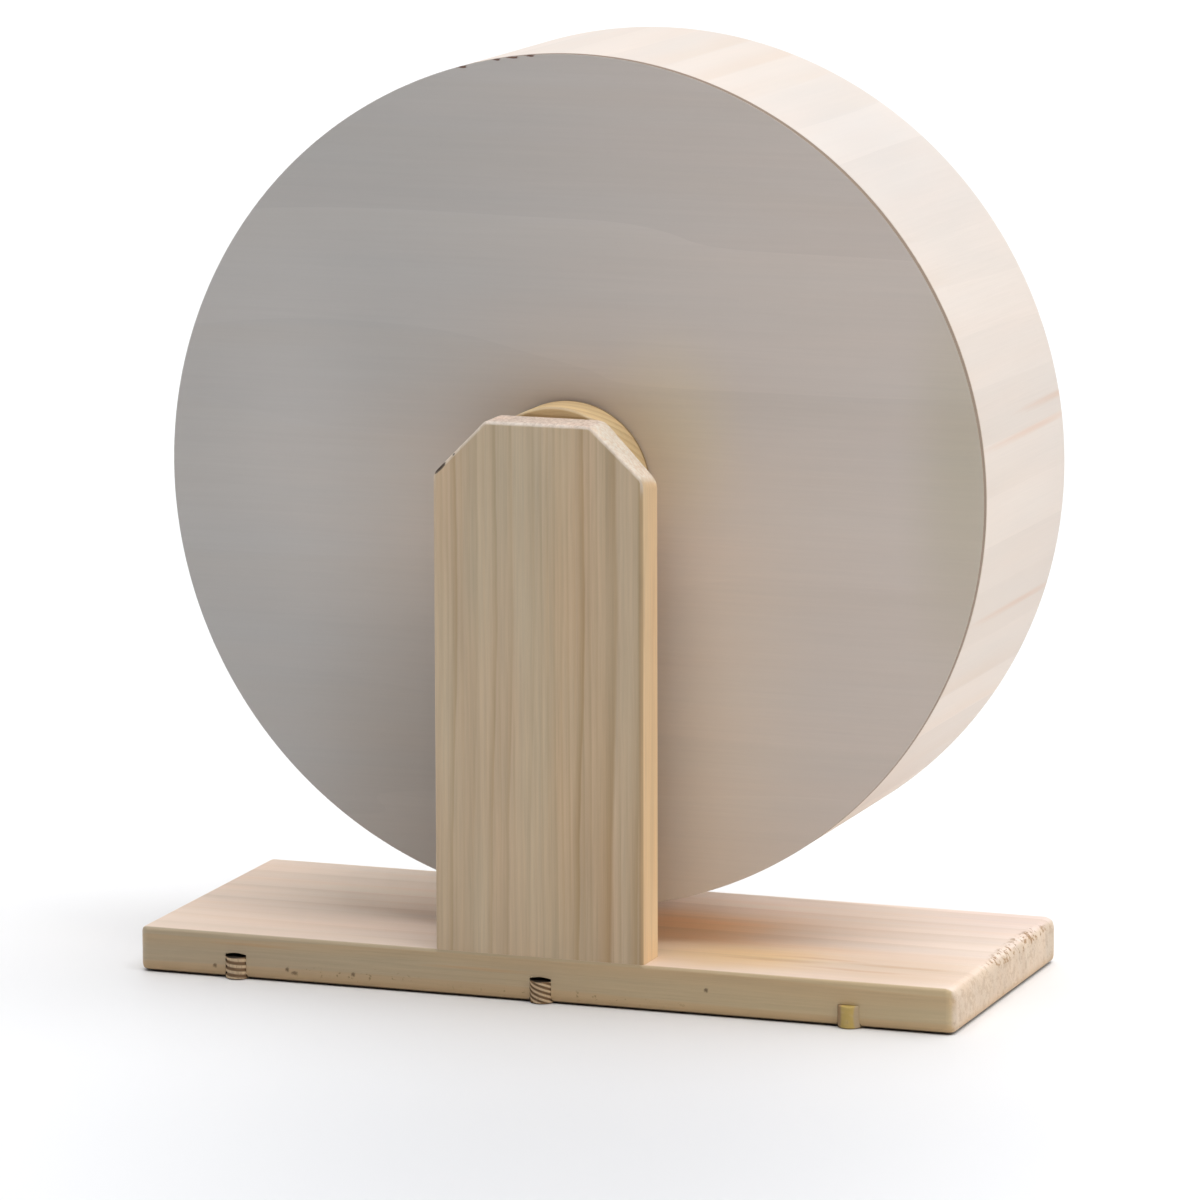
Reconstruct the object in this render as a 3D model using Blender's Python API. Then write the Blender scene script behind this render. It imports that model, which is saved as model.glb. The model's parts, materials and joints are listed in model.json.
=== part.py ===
"""A wooden exercise wheel for small rodents, on a base board with one upright post.

The frame: X runs along the base board, Y runs along the axle from the post to the drum's open
mouth, and Z is up. The floor is at zero height, and the origin lies under the middle of the
whole model. Everything is in metres.
"""

import math

import bmesh
import bpy
from mathutils import Euler, Matrix, Vector

MM = 0.001

# Clearances that every joint between pieces uses
SEAT_GAP = 0.3 * MM  # between two faces that rest on each other
SLIDE_GAP = 0.15 * MM  # round a shaft, a pin or a race in its own hole
CUT_OVERRUN = 2.0 * MM  # how far a cutter runs past the face that it opens
WELD_DISTANCE = 0.0002 * MM  # points closer than this become one

# The base board
BASE_LENGTH = 282.0 * MM
BASE_DEPTH = 114.0 * MM
BASE_THICKNESS = 15.0 * MM
BASE_EDGE_RADIUS = 2.5 * MM

# The upright post
POST_WIDTH = 72.0 * MM
POST_THICKNESS = 15.0 * MM
POST_ABOVE_AXLE = 24.5 * MM
POST_CORNER_CUT = 18.0 * MM
POST_EDGE_RADIUS = 1.5 * MM
POST_SKIN = 2.8 * MM  # wood left behind the blind hole of the threaded insert

# The drum
DRUM_RADIUS = 140.0 * MM
DRUM_WIDTH = 91.0 * MM
DRUM_CLEARANCE = 10.5 * MM  # from the base board up to the drum
DISC_THICKNESS = 3.0 * MM
BAND_THICKNESS = 4.0 * MM
KERF_SPACING = 12.0 * MM
KERF_WIDTH = 1.4 * MM
KERF_DEPTH = 1.8 * MM
LAP_SHARE = 0.8  # of the wood between two kerfs, how far the band's glued ends lap
LAP_ANGLE = math.radians(214.0)

# The hub: a turned block behind the disc and a round plate in front of it
HUB_RADIUS = 27.5 * MM
HUB_SHOULDER = 8.0 * MM  # wood between the bearing pocket and the disc
HUB_EDGE_EASE = 0.8 * MM
PLATE_LIP = 2.0 * MM  # how far the plate stands past its bearing
HUB_SCREW_COUNT = 4
HUB_SCREW_RADIUS = 1.7 * MM
HUB_SCREW_HEAD_RADIUS = 3.5 * MM
HUB_SCREW_HEAD_HEIGHT = 2.2 * MM
HUB_SCREW_BITE = 9.0 * MM  # how deep a screw goes into the hub block

# The two ball bearings
BEARING_WIDTH = 7.0 * MM
BEARING_RADIUS = 11.0 * MM
BALL_RADIUS = 1.98 * MM
BALL_COUNT = 7
BALL_GAP = 0.2 * MM
RACE_LAND_SHARE = 0.7  # of a ball's radius, from the pitch circle to each race's land
CAGE_BACK = 0.6 * MM
CAGE_GRIP_SHARE = 0.45  # of a ball's radius, how far the fingers reach past its middle
SHIELD_THICKNESS = 0.4 * MM

# The axle bolt and what is threaded on it
BOLT_RADIUS = 3.9 * MM
BOLT_HEAD_ACROSS_FLATS = 13.0 * MM
BOLT_HEAD_HEIGHT = 5.3 * MM
BOLT_HEAD_EASE = 0.7 * MM
BOLT_TIP_EASE = 0.8 * MM
WASHER_RADIUS = 8.0 * MM
WASHER_THICKNESS = 1.6 * MM
SHIM_WALL = 2.2 * MM
SHIM_THICKNESS = 1.0 * MM
SLEEVE_WALL = 1.6 * MM
INSERT_WALL = 1.9 * MM
INSERT_TIP_GAP = 0.6 * MM  # between the insert and the bottom of its blind hole

# The short ridged dowels in the base board's rear edge
EDGE_DOWEL_RADIUS = 4.0 * MM
EDGE_DOWEL_LENGTH = 7.2 * MM
EDGE_DOWEL_INSET = 1.7 * MM  # from the board's rear face in to a dowel's axis
EDGE_DOWEL_HOLE_SPARE = 0.9 * MM  # room left above a dowel, up to the hole's point
EDGE_DOWEL_RIDGES = 4
EDGE_DOWEL_GROOVE_DEPTH = 0.35 * MM
EDGE_DOWEL_EASE = 0.5 * MM
EDGE_DOWEL_PLACE_SHARES = (-0.755, 0.003, 0.748)  # of half the base board's length

# What holds the post on the base board
POST_DOWEL_RADIUS = 3.0 * MM
POST_DOWEL_LENGTH = 28.0 * MM
POST_DOWEL_IN_BASE = 10.0 * MM
POST_DOWEL_INSET = 9.0 * MM  # from the post's side in to a dowel's axis
POST_DOWEL_EASE = 0.7 * MM
POST_SCREW_SHARE = 0.45  # of half the post's width
POST_SCREW_RADIUS = 1.9 * MM
POST_SCREW_HEAD_RADIUS = 3.9 * MM
POST_SCREW_HEAD_HEIGHT = 2.6 * MM
POST_SCREW_SINK = 0.5 * MM
POST_SCREW_BITE = 28.0 * MM  # how deep a screw goes into the post
SCREW_POINT_SHARE = 1.8  # of a screw's radius, the length of its point

# How finely round things are made
RIM_STEPS_PER_KERF = 2
HUB_STEPS = 48
ROUND_STEPS = 24
SMALL_STEPS = 12
GROOVE_STEPS = 4
BALL_SEGMENTS = 8
BALL_RINGS = 6
EDGE_STEPS = 3
SHARP_ANGLE = math.radians(35.0)

# Places along the axle, worked out from the post outwards
REACH_TO_MOUTH = (
    POST_THICKNESS + SHIM_THICKNESS + BEARING_WIDTH + HUB_SHOULDER + 3 * SEAT_GAP + DRUM_WIDTH
)
DOWEL_BULGE = EDGE_DOWEL_RADIUS - EDGE_DOWEL_INSET
REAR_Y = (DOWEL_BULGE - REACH_TO_MOUTH) / 2
POST_FRONT_Y = REAR_Y + POST_THICKNESS
SHIM_Y = POST_FRONT_Y + SEAT_GAP
HUB_Y = SHIM_Y + SHIM_THICKNESS + SEAT_GAP
HUB_THICKNESS = BEARING_WIDTH + HUB_SHOULDER
DISC_Y = HUB_Y + HUB_THICKNESS + SEAT_GAP
PLATE_Y = DISC_Y + DISC_THICKNESS + SEAT_GAP
PLATE_THICKNESS = BEARING_WIDTH + PLATE_LIP
BAND_LENGTH = DRUM_WIDTH - DISC_THICKNESS - SEAT_GAP
WASHER_Y = PLATE_Y + BEARING_WIDTH + SEAT_GAP
HEAD_Y = WASHER_Y + WASHER_THICKNESS + SEAT_GAP
INSERT_LENGTH = POST_THICKNESS - POST_SKIN - INSERT_TIP_GAP - SEAT_GAP
BOLT_TIP_Y = REAR_Y + POST_SKIN + INSERT_TIP_GAP

# Heights and radii that several pieces share
AXLE_HEIGHT = BASE_THICKNESS + DRUM_CLEARANCE + DRUM_RADIUS
POST_TOP = AXLE_HEIGHT + POST_ABOVE_AXLE
POST_BOTTOM = BASE_THICKNESS + SEAT_GAP
BORE_RADIUS = BOLT_RADIUS + SLIDE_GAP
PITCH_RADIUS = (BORE_RADIUS + BEARING_RADIUS) / 2
INNER_LAND = PITCH_RADIUS - RACE_LAND_SHARE * BALL_RADIUS
OUTER_LAND = PITCH_RADIUS + RACE_LAND_SHARE * BALL_RADIUS
POCKET_RADIUS = BEARING_RADIUS + SLIDE_GAP
HUB_BORE_RADIUS = PITCH_RADIUS
HUB_SCREW_CIRCLE = (POCKET_RADIUS + HUB_RADIUS) / 2

PINE = ("pine", (0.66, 0.50, 0.32), 0.62, 0.0)
PINE_POST = ("pine_post", (0.62, 0.47, 0.29), 0.62, 0.0)
GOLDEN_WOOD = ("golden_wood", (0.70, 0.48, 0.22), 0.55, 0.0)
PLYWOOD = ("plywood", (0.58, 0.50, 0.42), 0.70, 0.0)
BAND_VENEER = ("band_veneer", (0.82, 0.72, 0.62), 0.66, 0.0)
BEECH = ("beech", (0.60, 0.42, 0.24), 0.60, 0.0)
STEEL = ("steel", (0.60, 0.61, 0.62), 0.28, 1.0)
ZINC = ("zinc", (0.66, 0.66, 0.64), 0.38, 1.0)
BRASS = ("brass", (0.72, 0.55, 0.28), 0.35, 1.0)
NYLON = ("nylon", (0.86, 0.84, 0.76), 0.50, 0.0)


def clear_scene():
    """Take away whatever the file opened with."""
    for old in list(bpy.data.objects):
        bpy.data.objects.remove(old)


def material(finish):
    """The named material of a finish, made the first time that it is asked for."""
    name, colour, roughness, metallic = finish
    made = bpy.data.materials.get(name)
    if made is None:
        made = bpy.data.materials.new(name)
        made.use_nodes = True
        shader = made.node_tree.nodes["Principled BSDF"]
        shader.inputs["Base Color"].default_value = (*colour, 1.0)
        shader.inputs["Roughness"].default_value = roughness
        shader.inputs["Metallic"].default_value = metallic
    return made


def axis_empty(name, height):
    """An empty on a joint's axis, which its pieces hang from."""
    empty = bpy.data.objects.new(name, None)
    empty.location = (0, 0, height)
    bpy.context.scene.collection.objects.link(empty)
    return empty


def put(name, mesh, finish, location, parent, rotation=(0, 0, 0)):
    """Place a mesh in the scene as one named piece."""
    piece = bpy.data.objects.new(name, mesh)
    if finish and not mesh.materials:
        mesh.materials.append(material(finish))
    piece.location = location
    piece.rotation_euler = rotation
    piece.parent = parent
    bpy.context.scene.collection.objects.link(piece)
    return piece


def mesh_from(name, bm, smooth=False):
    """Close off a bmesh as a mesh, faces out, round sides shaded smooth."""
    bmesh.ops.recalc_face_normals(bm, faces=bm.faces)
    mesh = bpy.data.meshes.new(name)
    bm.to_mesh(mesh)
    bm.free()
    if smooth:
        mesh.shade_smooth()
        mesh.set_sharp_from_angle(angle=SHARP_ANGLE)
    return mesh


def turned_mesh(name, profile, steps=ROUND_STEPS):
    """Turn a closed profile of (radius, place along Y) points about the Y axis."""
    bm = bmesh.new()
    corners = [bm.verts.new((radius, along, 0)) for radius, along in profile]
    loop = [bm.edges.new((a, b)) for a, b in zip(corners, corners[1:] + corners[:1])]
    bmesh.ops.spin(
        bm,
        geom=corners + loop,
        cent=(0, 0, 0),
        axis=(0, 1, 0),
        angle=2 * math.pi,
        steps=steps,
        use_merge=True,
    )
    bmesh.ops.remove_doubles(bm, verts=bm.verts, dist=WELD_DISTANCE)
    bmesh.ops.dissolve_degenerate(bm, edges=bm.edges, dist=WELD_DISTANCE)
    stray = [edge for edge in bm.edges if not edge.link_faces]
    bmesh.ops.delete(bm, geom=stray, context="EDGES")
    return mesh_from(name, bm, smooth=True)


def board_mesh(name, outline, thickness):
    """Extrude an outline of (x, z) points along +Y."""
    bm = bmesh.new()
    face = bm.faces.new([bm.verts.new((x, 0, z)) for x, z in outline])
    grown = bmesh.ops.extrude_face_region(bm, geom=[face])
    front = [v for v in grown["geom"] if isinstance(v, bmesh.types.BMVert)]
    bmesh.ops.translate(bm, vec=(0, thickness, 0), verts=front)
    return mesh_from(name, bm)


def split_board(mesh, places):
    """Run an edge round a board at each place along X, so that a rounding can end there."""
    bm = bmesh.new()
    bm.from_mesh(mesh)
    for x in places:
        geom = bm.verts[:] + bm.edges[:] + bm.faces[:]
        bmesh.ops.bisect_plane(bm, geom=geom, plane_co=(x, 0, 0), plane_no=(1, 0, 0))
    bm.to_mesh(mesh)
    bm.free()


def round_edges(piece, radius, stays_square):
    """Round a board's edges with a bevel, apart from those whose middle stays_square picks."""
    bm = bmesh.new()
    bm.from_mesh(piece.data)
    weight = bm.edges.layers.float.new("bevel_weight_edge")
    for edge in bm.edges:
        middle = (edge.verts[0].co + edge.verts[1].co) / 2
        flat = edge.calc_face_angle() < SHARP_ANGLE
        edge[weight] = 0.0 if flat or stays_square(middle) else 1.0
    bm.to_mesh(piece.data)
    bm.free()
    bevel = piece.modifiers.new("rounded_edges", "BEVEL")
    bevel.width = radius
    bevel.segments = EDGE_STEPS
    bevel.limit_method = "WEIGHT"


def cut(piece, name, mesh, location, parent=None, rotation=(0, 0, 0)):
    """Cut a piece with a mesh that is kept as a hidden, wire-drawn cutter."""
    cutter = put(name, mesh, None, location, parent, rotation)
    cutter.hide_render = True
    cutter.display_type = "WIRE"
    boolean = piece.modifiers.new(name, "BOOLEAN")
    boolean.operation = "DIFFERENCE"
    boolean.solver = "EXACT"
    boolean.object = cutter


def rod_profile(radius, start, end):
    """A plain solid rod on the axis."""
    return [(0, start), (radius, start), (radius, end), (0, end)]


def eased_rod_profile(radius, start, end, ease):
    """A solid rod whose two ends are chamfered."""
    return [
        (0, start),
        (radius - ease, start),
        (radius, start + ease),
        (radius, end - ease),
        (radius - ease, end),
        (0, end),
    ]


def ring_profile(inner, outer, start, end):
    """A plain ring or tube."""
    return [(inner, start), (outer, start), (outer, end), (inner, end)]


def screw_profile(head_radius, head_height, shank_radius, length):
    """A countersunk screw: flat head at zero, shank and point along +Y."""
    point = SCREW_POINT_SHARE * shank_radius
    return [
        (0, 0),
        (head_radius, 0),
        (shank_radius, head_height),
        (shank_radius, length - point),
        (0, length),
    ]


def countersink_profile(head_radius, head_height, shank_radius, depth, sink):
    """The hole that a countersunk screw leaves: mouth at zero, its depth along +Y."""
    head = head_radius + SLIDE_GAP
    shank = shank_radius + SLIDE_GAP
    return [
        (0, -CUT_OVERRUN),
        (head, -CUT_OVERRUN),
        (head, sink),
        (shank, sink + head_height + SLIDE_GAP),
        (shank, depth),
        (0, depth),
    ]


# The stand: a base board, an upright post and what joins them


def place_along_base(share):
    """A place along X, from its share of half the base board's length."""
    return share * BASE_LENGTH / 2


def post_dowel_places():
    """Where the two hidden dowels stand, along X."""
    reach = POST_WIDTH / 2 - POST_DOWEL_INSET
    return {"left": -reach, "right": reach}


def post_screw_places():
    """Where the two screws from below stand, along X."""
    reach = POST_SCREW_SHARE * POST_WIDTH / 2
    return {"left": -reach, "right": reach}


POST_MIDDLE_Y = REAR_Y + POST_THICKNESS / 2
UP = (math.radians(90.0), 0, 0)  # turns a piece made along +Y to stand along +Z


def edge_dowel_profile():
    """A short dowel with ridges pressed round it and chamfered ends."""
    body = EDGE_DOWEL_LENGTH - 2 * EDGE_DOWEL_EASE
    ridge = body / EDGE_DOWEL_RIDGES
    points = [(0, 0), (EDGE_DOWEL_RADIUS - EDGE_DOWEL_EASE, 0)]
    for count in range(EDGE_DOWEL_RIDGES):
        start = EDGE_DOWEL_EASE + count * ridge
        points.append((EDGE_DOWEL_RADIUS, start))
        points.append((EDGE_DOWEL_RADIUS, start + ridge / 2))
        if count < EDGE_DOWEL_RIDGES - 1:
            points.append((EDGE_DOWEL_RADIUS - EDGE_DOWEL_GROOVE_DEPTH, start + 3 * ridge / 4))
    points.append((EDGE_DOWEL_RADIUS, EDGE_DOWEL_LENGTH - EDGE_DOWEL_EASE))
    points.append((EDGE_DOWEL_RADIUS - EDGE_DOWEL_EASE, EDGE_DOWEL_LENGTH))
    points.append((0, EDGE_DOWEL_LENGTH))
    return points


def edge_dowel_hole_profile():
    """A drilled hole with the cone that the drill's point leaves, opened from below."""
    radius = EDGE_DOWEL_RADIUS + SLIDE_GAP
    shoulder = EDGE_DOWEL_LENGTH + EDGE_DOWEL_HOLE_SPARE / 2
    return [
        (0, -CUT_OVERRUN),
        (radius, -CUT_OVERRUN),
        (radius, shoulder),
        (0, shoulder + EDGE_DOWEL_HOLE_SPARE),
    ]


def make_base_board(stand):
    """The base board, with its dowel sockets and countersunk holes.

    Its edges are rounded once the post stands on it, so the stretch of the rear edge under the
    post stays square, and the two rear faces meet flush.
    """
    half = BASE_LENGTH / 2
    half_post = POST_WIDTH / 2
    outline = [(-half, 0), (half, 0), (half, BASE_THICKNESS), (-half, BASE_THICKNESS)]
    mesh = board_mesh("base_board", outline, BASE_DEPTH)
    split_board(mesh, (-half_post, half_post))
    board = put("base_board", mesh, PINE, (0, REAR_Y, 0), stand)

    def under_post(middle):
        return middle.y == 0 and middle.z > BASE_THICKNESS / 2 and abs(middle.x) < half_post

    round_edges(board, BASE_EDGE_RADIUS, under_post)
    edge_hole = turned_mesh("edge_dowel_hole", edge_dowel_hole_profile(), SMALL_STEPS)
    for number, share in enumerate(EDGE_DOWEL_PLACE_SHARES, 1):
        place = (place_along_base(share), REAR_Y + EDGE_DOWEL_INSET, 0)
        cut(board, f"edge_dowel_hole_{number}", edge_hole, place, stand, UP)
    socket = turned_mesh(
        "base_socket",
        rod_profile(
            POST_DOWEL_RADIUS + SLIDE_GAP,
            BASE_THICKNESS - POST_DOWEL_IN_BASE - SEAT_GAP,
            BASE_THICKNESS + CUT_OVERRUN,
        ),
        SMALL_STEPS,
    )
    for side, x in post_dowel_places().items():
        cut(board, f"base_socket_{side}", socket, (x, POST_MIDDLE_Y, 0), stand, UP)
    hole = turned_mesh(
        "base_screw_hole",
        countersink_profile(
            POST_SCREW_HEAD_RADIUS,
            POST_SCREW_HEAD_HEIGHT,
            POST_SCREW_RADIUS,
            BASE_THICKNESS + CUT_OVERRUN,
            POST_SCREW_SINK,
        ),
        SMALL_STEPS,
    )
    for side, x in post_screw_places().items():
        cut(board, f"base_screw_hole_{side}", hole, (x, POST_MIDDLE_Y, 0), stand, UP)


def make_post(stand):
    """The upright post: two corners cut off, sockets in its foot, a blind hole for the axle."""
    half = POST_WIDTH / 2
    shoulder = POST_TOP - POST_CORNER_CUT
    outline = [
        (-half, POST_BOTTOM),
        (half, POST_BOTTOM),
        (half, shoulder),
        (half - POST_CORNER_CUT, POST_TOP),
        (POST_CORNER_CUT - half, POST_TOP),
        (-half, shoulder),
    ]
    mesh = board_mesh("post", outline, POST_THICKNESS)
    post = put("post", mesh, PINE_POST, (0, REAR_Y, 0), stand)

    def at_foot(middle):
        return middle.z < POST_BOTTOM + POST_EDGE_RADIUS

    round_edges(post, POST_EDGE_RADIUS, at_foot)
    socket_top = BASE_THICKNESS - POST_DOWEL_IN_BASE + POST_DOWEL_LENGTH + SEAT_GAP
    socket = turned_mesh(
        "post_socket",
        rod_profile(POST_DOWEL_RADIUS + SLIDE_GAP, BASE_THICKNESS - CUT_OVERRUN, socket_top),
        SMALL_STEPS,
    )
    for side, x in post_dowel_places().items():
        cut(post, f"post_socket_{side}", socket, (x, POST_MIDDLE_Y, 0), stand, UP)
    pilot = turned_mesh(
        "post_pilot",
        rod_profile(
            POST_SCREW_RADIUS + SLIDE_GAP,
            BASE_THICKNESS - CUT_OVERRUN,
            BASE_THICKNESS + POST_SCREW_BITE + SEAT_GAP,
        ),
        SMALL_STEPS,
    )
    for side, x in post_screw_places().items():
        cut(post, f"post_pilot_{side}", pilot, (x, POST_MIDDLE_Y, 0), stand, UP)
    blind_hole = turned_mesh(
        "insert_hole",
        rod_profile(
            BORE_RADIUS + INSERT_WALL + SLIDE_GAP,
            REAR_Y + POST_SKIN,
            POST_FRONT_Y + CUT_OVERRUN,
        ),
        ROUND_STEPS,
    )
    cut(post, "insert_hole", blind_hole, (0, 0, AXLE_HEIGHT), stand)


def make_edge_dowels(stand):
    """The three short ridged dowels that bulge out of the base board's rear edge."""
    dowel = turned_mesh("edge_dowel", edge_dowel_profile(), SMALL_STEPS)
    for side, share in zip(("left", "middle", "right"), EDGE_DOWEL_PLACE_SHARES):
        place = (place_along_base(share), REAR_Y + EDGE_DOWEL_INSET, 0)
        put(f"edge_dowel_{side}", dowel, BEECH, place, stand, UP)


def make_post_fixings(stand):
    """Two hidden dowels and two screws from below, which hold the post on the base board."""
    foot = BASE_THICKNESS - POST_DOWEL_IN_BASE
    profile = eased_rod_profile(POST_DOWEL_RADIUS, 0, POST_DOWEL_LENGTH, POST_DOWEL_EASE)
    dowel = turned_mesh("post_dowel", profile, SMALL_STEPS)
    for side, x in post_dowel_places().items():
        put(f"post_dowel_{side}", dowel, BEECH, (x, POST_MIDDLE_Y, foot), stand, UP)
    profile = screw_profile(
        POST_SCREW_HEAD_RADIUS,
        POST_SCREW_HEAD_HEIGHT,
        POST_SCREW_RADIUS,
        BASE_THICKNESS - POST_SCREW_SINK + POST_SCREW_BITE,
    )
    screw = turned_mesh("post_screw", profile, SMALL_STEPS)
    for side, x in post_screw_places().items():
        put(f"post_screw_{side}", screw, ZINC, (x, POST_MIDDLE_Y, POST_SCREW_SINK), stand, UP)


# The axle: a bolt in a threaded insert, with the pieces that it clamps


def make_axle(axle):
    """The bolt, its washer, sleeve, shim and insert, all round the axle's line."""
    insert = ring_profile(BORE_RADIUS, BORE_RADIUS + INSERT_WALL, 0, INSERT_LENGTH)
    insert_y = POST_FRONT_Y - SEAT_GAP - INSERT_LENGTH
    put("threaded_insert", turned_mesh("threaded_insert", insert), BRASS, (0, insert_y, 0), axle)
    shim = ring_profile(BORE_RADIUS, BORE_RADIUS + SHIM_WALL, 0, SHIM_THICKNESS)
    put("shim_washer", turned_mesh("shim_washer", shim), STEEL, (0, SHIM_Y, 0), axle)
    sleeve_y = HUB_Y + BEARING_WIDTH + SEAT_GAP
    sleeve_length = PLATE_Y - SEAT_GAP - sleeve_y
    sleeve = ring_profile(BORE_RADIUS, BORE_RADIUS + SLEEVE_WALL, 0, sleeve_length)
    put("axle_sleeve", turned_mesh("axle_sleeve", sleeve), STEEL, (0, sleeve_y, 0), axle)
    washer = ring_profile(BORE_RADIUS, WASHER_RADIUS, 0, WASHER_THICKNESS)
    put("head_washer", turned_mesh("head_washer", washer), ZINC, (0, WASHER_Y, 0), axle)
    put("axle_bolt", bolt_mesh(), ZINC, (0, HEAD_Y, 0), axle)


def bolt_mesh():
    """A hexagon bolt along the Y axis: head from zero outwards, shank the other way."""
    bm = bmesh.new()
    sides = 6
    corner = BOLT_HEAD_ACROSS_FLATS / 2 / math.cos(math.pi / sides)
    shank = HEAD_Y - BOLT_TIP_Y
    shaft_steps = 4 * sides

    def ring(radius, along, steps):
        turns = [2 * math.pi * step / steps for step in range(steps)]
        return [bm.verts.new((radius * math.cos(t), along, radius * math.sin(t))) for t in turns]

    def bridge(lower, upper):
        edges = []
        for loop in (lower, upper):
            for a, b in zip(loop, loop[1:] + loop[:1]):
                edges.append(bm.edges.get((a, b)) or bm.edges.new((a, b)))
        bmesh.ops.bridge_loops(bm, edges=edges)

    def seat_faces(round_loop, corners):
        """The flat underside of the head: a fan from each corner, and a face to the next one."""
        per_side = len(round_loop) // sides
        for side in range(sides):
            first = side * per_side - per_side // 2
            fan = [round_loop[(first + k) % len(round_loop)] for k in range(per_side + 1)]
            for a, b in zip(fan, fan[1:]):
                bm.faces.new((corners[side], a, b))
            bm.faces.new((corners[side], fan[-1], corners[(side + 1) % sides]))

    tip = ring(BOLT_RADIUS - BOLT_TIP_EASE, -shank, shaft_steps)
    thread_end = ring(BOLT_RADIUS, BOLT_TIP_EASE - shank, shaft_steps)
    neck = ring(BOLT_RADIUS, 0, shaft_steps)
    seat = ring(corner, 0, sides)
    shoulder = ring(corner, BOLT_HEAD_HEIGHT - BOLT_HEAD_EASE, sides)
    top = ring(corner - 2 * BOLT_HEAD_EASE, BOLT_HEAD_HEIGHT, sides)
    bm.faces.new(tip)
    for lower, upper in ((tip, thread_end), (thread_end, neck)):
        bridge(lower, upper)
    seat_faces(neck, seat)
    for lower, upper in ((seat, shoulder), (shoulder, top)):
        bridge(lower, upper)
    bm.faces.new(top)
    return mesh_from("axle_bolt", bm, smooth=True)


# The bearings: two races, a crown cage, its balls and a shield each


def groove_points(side):
    """Points along a race's ball groove; side is -1 for the inner race and 1 for the outer."""
    radius = BALL_RADIUS + BALL_GAP
    reach = math.acos(RACE_LAND_SHARE * BALL_RADIUS / radius)
    turns = [reach * (2 * step / GROOVE_STEPS - 1) for step in range(GROOVE_STEPS + 1)]
    return [(PITCH_RADIUS + side * radius * math.cos(t), radius * math.sin(t)) for t in turns]


def race_profile(side):
    """A race's section, about the bearing's middle plane."""
    half = BEARING_WIDTH / 2
    wall = BORE_RADIUS if side < 0 else BEARING_RADIUS
    land = INNER_LAND if side < 0 else OUTER_LAND
    return [(wall, -half), (land, -half), *groove_points(side), (land, half), (wall, half)]


def ball_centres():
    """The balls' places on the pitch circle."""
    turns = [2 * math.pi * number / BALL_COUNT for number in range(BALL_COUNT)]
    return [(PITCH_RADIUS * math.cos(t), 0, PITCH_RADIUS * math.sin(t)) for t in turns]


def spheres_mesh(name, radius, centres):
    """Spheres of one size round the given centres, in one mesh."""
    bm = bmesh.new()
    for centre in centres:
        place = Matrix.Translation(Vector(centre))
        bmesh.ops.create_uvsphere(
            bm, u_segments=BALL_SEGMENTS, v_segments=BALL_RINGS, radius=radius, matrix=place
        )
    return mesh_from(name, bm, smooth=True)


def cage_profile():
    """The crown cage before its pockets are cut: a ring with one thin closed side."""
    back = -(BALL_RADIUS + BALL_GAP + CAGE_BACK)
    front = CAGE_GRIP_SHARE * BALL_RADIUS
    return ring_profile(INNER_LAND + 2 * BALL_GAP, OUTER_LAND - 2 * BALL_GAP, back, front)


def make_bearing(prefix, start_y, shield_side, axle, drum_axis, cage_axis):
    """One shielded ball bearing, whose rear face is at start_y."""
    middle = (0, start_y + BEARING_WIDTH / 2, 0)
    turn = (0, 0, 0) if shield_side > 0 else (0, 0, math.pi)
    inner = turned_mesh(f"{prefix}_inner_race", race_profile(-1))
    put(f"{prefix}_inner_race", inner, STEEL, middle, axle)
    outer = turned_mesh(f"{prefix}_outer_race", race_profile(1))
    put(f"{prefix}_outer_race", outer, STEEL, middle, drum_axis)
    ball = spheres_mesh(f"{prefix}_ball", BALL_RADIUS, [(0, 0, 0)])
    for number, centre in enumerate(ball_centres(), 1):
        place = Euler(turn).to_matrix() @ Vector(centre) + Vector(middle)
        put(f"{prefix}_ball_{number}", ball, STEEL, place, cage_axis)
    cage = turned_mesh(f"{prefix}_cage", cage_profile(), ROUND_STEPS)
    ring = put(f"{prefix}_cage", cage, NYLON, middle, cage_axis, turn)
    pockets = spheres_mesh(f"{prefix}_pockets", BALL_RADIUS + BALL_GAP, ball_centres())
    cut(ring, f"{prefix}_pockets", pockets, middle, cage_axis, turn)
    half = BEARING_WIDTH / 2
    plate = ring_profile(
        INNER_LAND + BALL_GAP, OUTER_LAND - BALL_GAP, half - SHIELD_THICKNESS, half
    )
    shield = turned_mesh(f"{prefix}_shield", plate)
    put(f"{prefix}_shield", shield, STEEL, middle, drum_axis, turn)


# The drum: a thin disc, a kerfed bent band, and a hub block and plate that hold the bearings


def hub_screw_places():
    """Where the hub screws stand round the axle, as (x, z)."""
    turns = [2 * math.pi * (number + 1 / 2) / HUB_SCREW_COUNT for number in range(HUB_SCREW_COUNT)]
    return [(HUB_SCREW_CIRCLE * math.cos(t), HUB_SCREW_CIRCLE * math.sin(t)) for t in turns]


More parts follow.
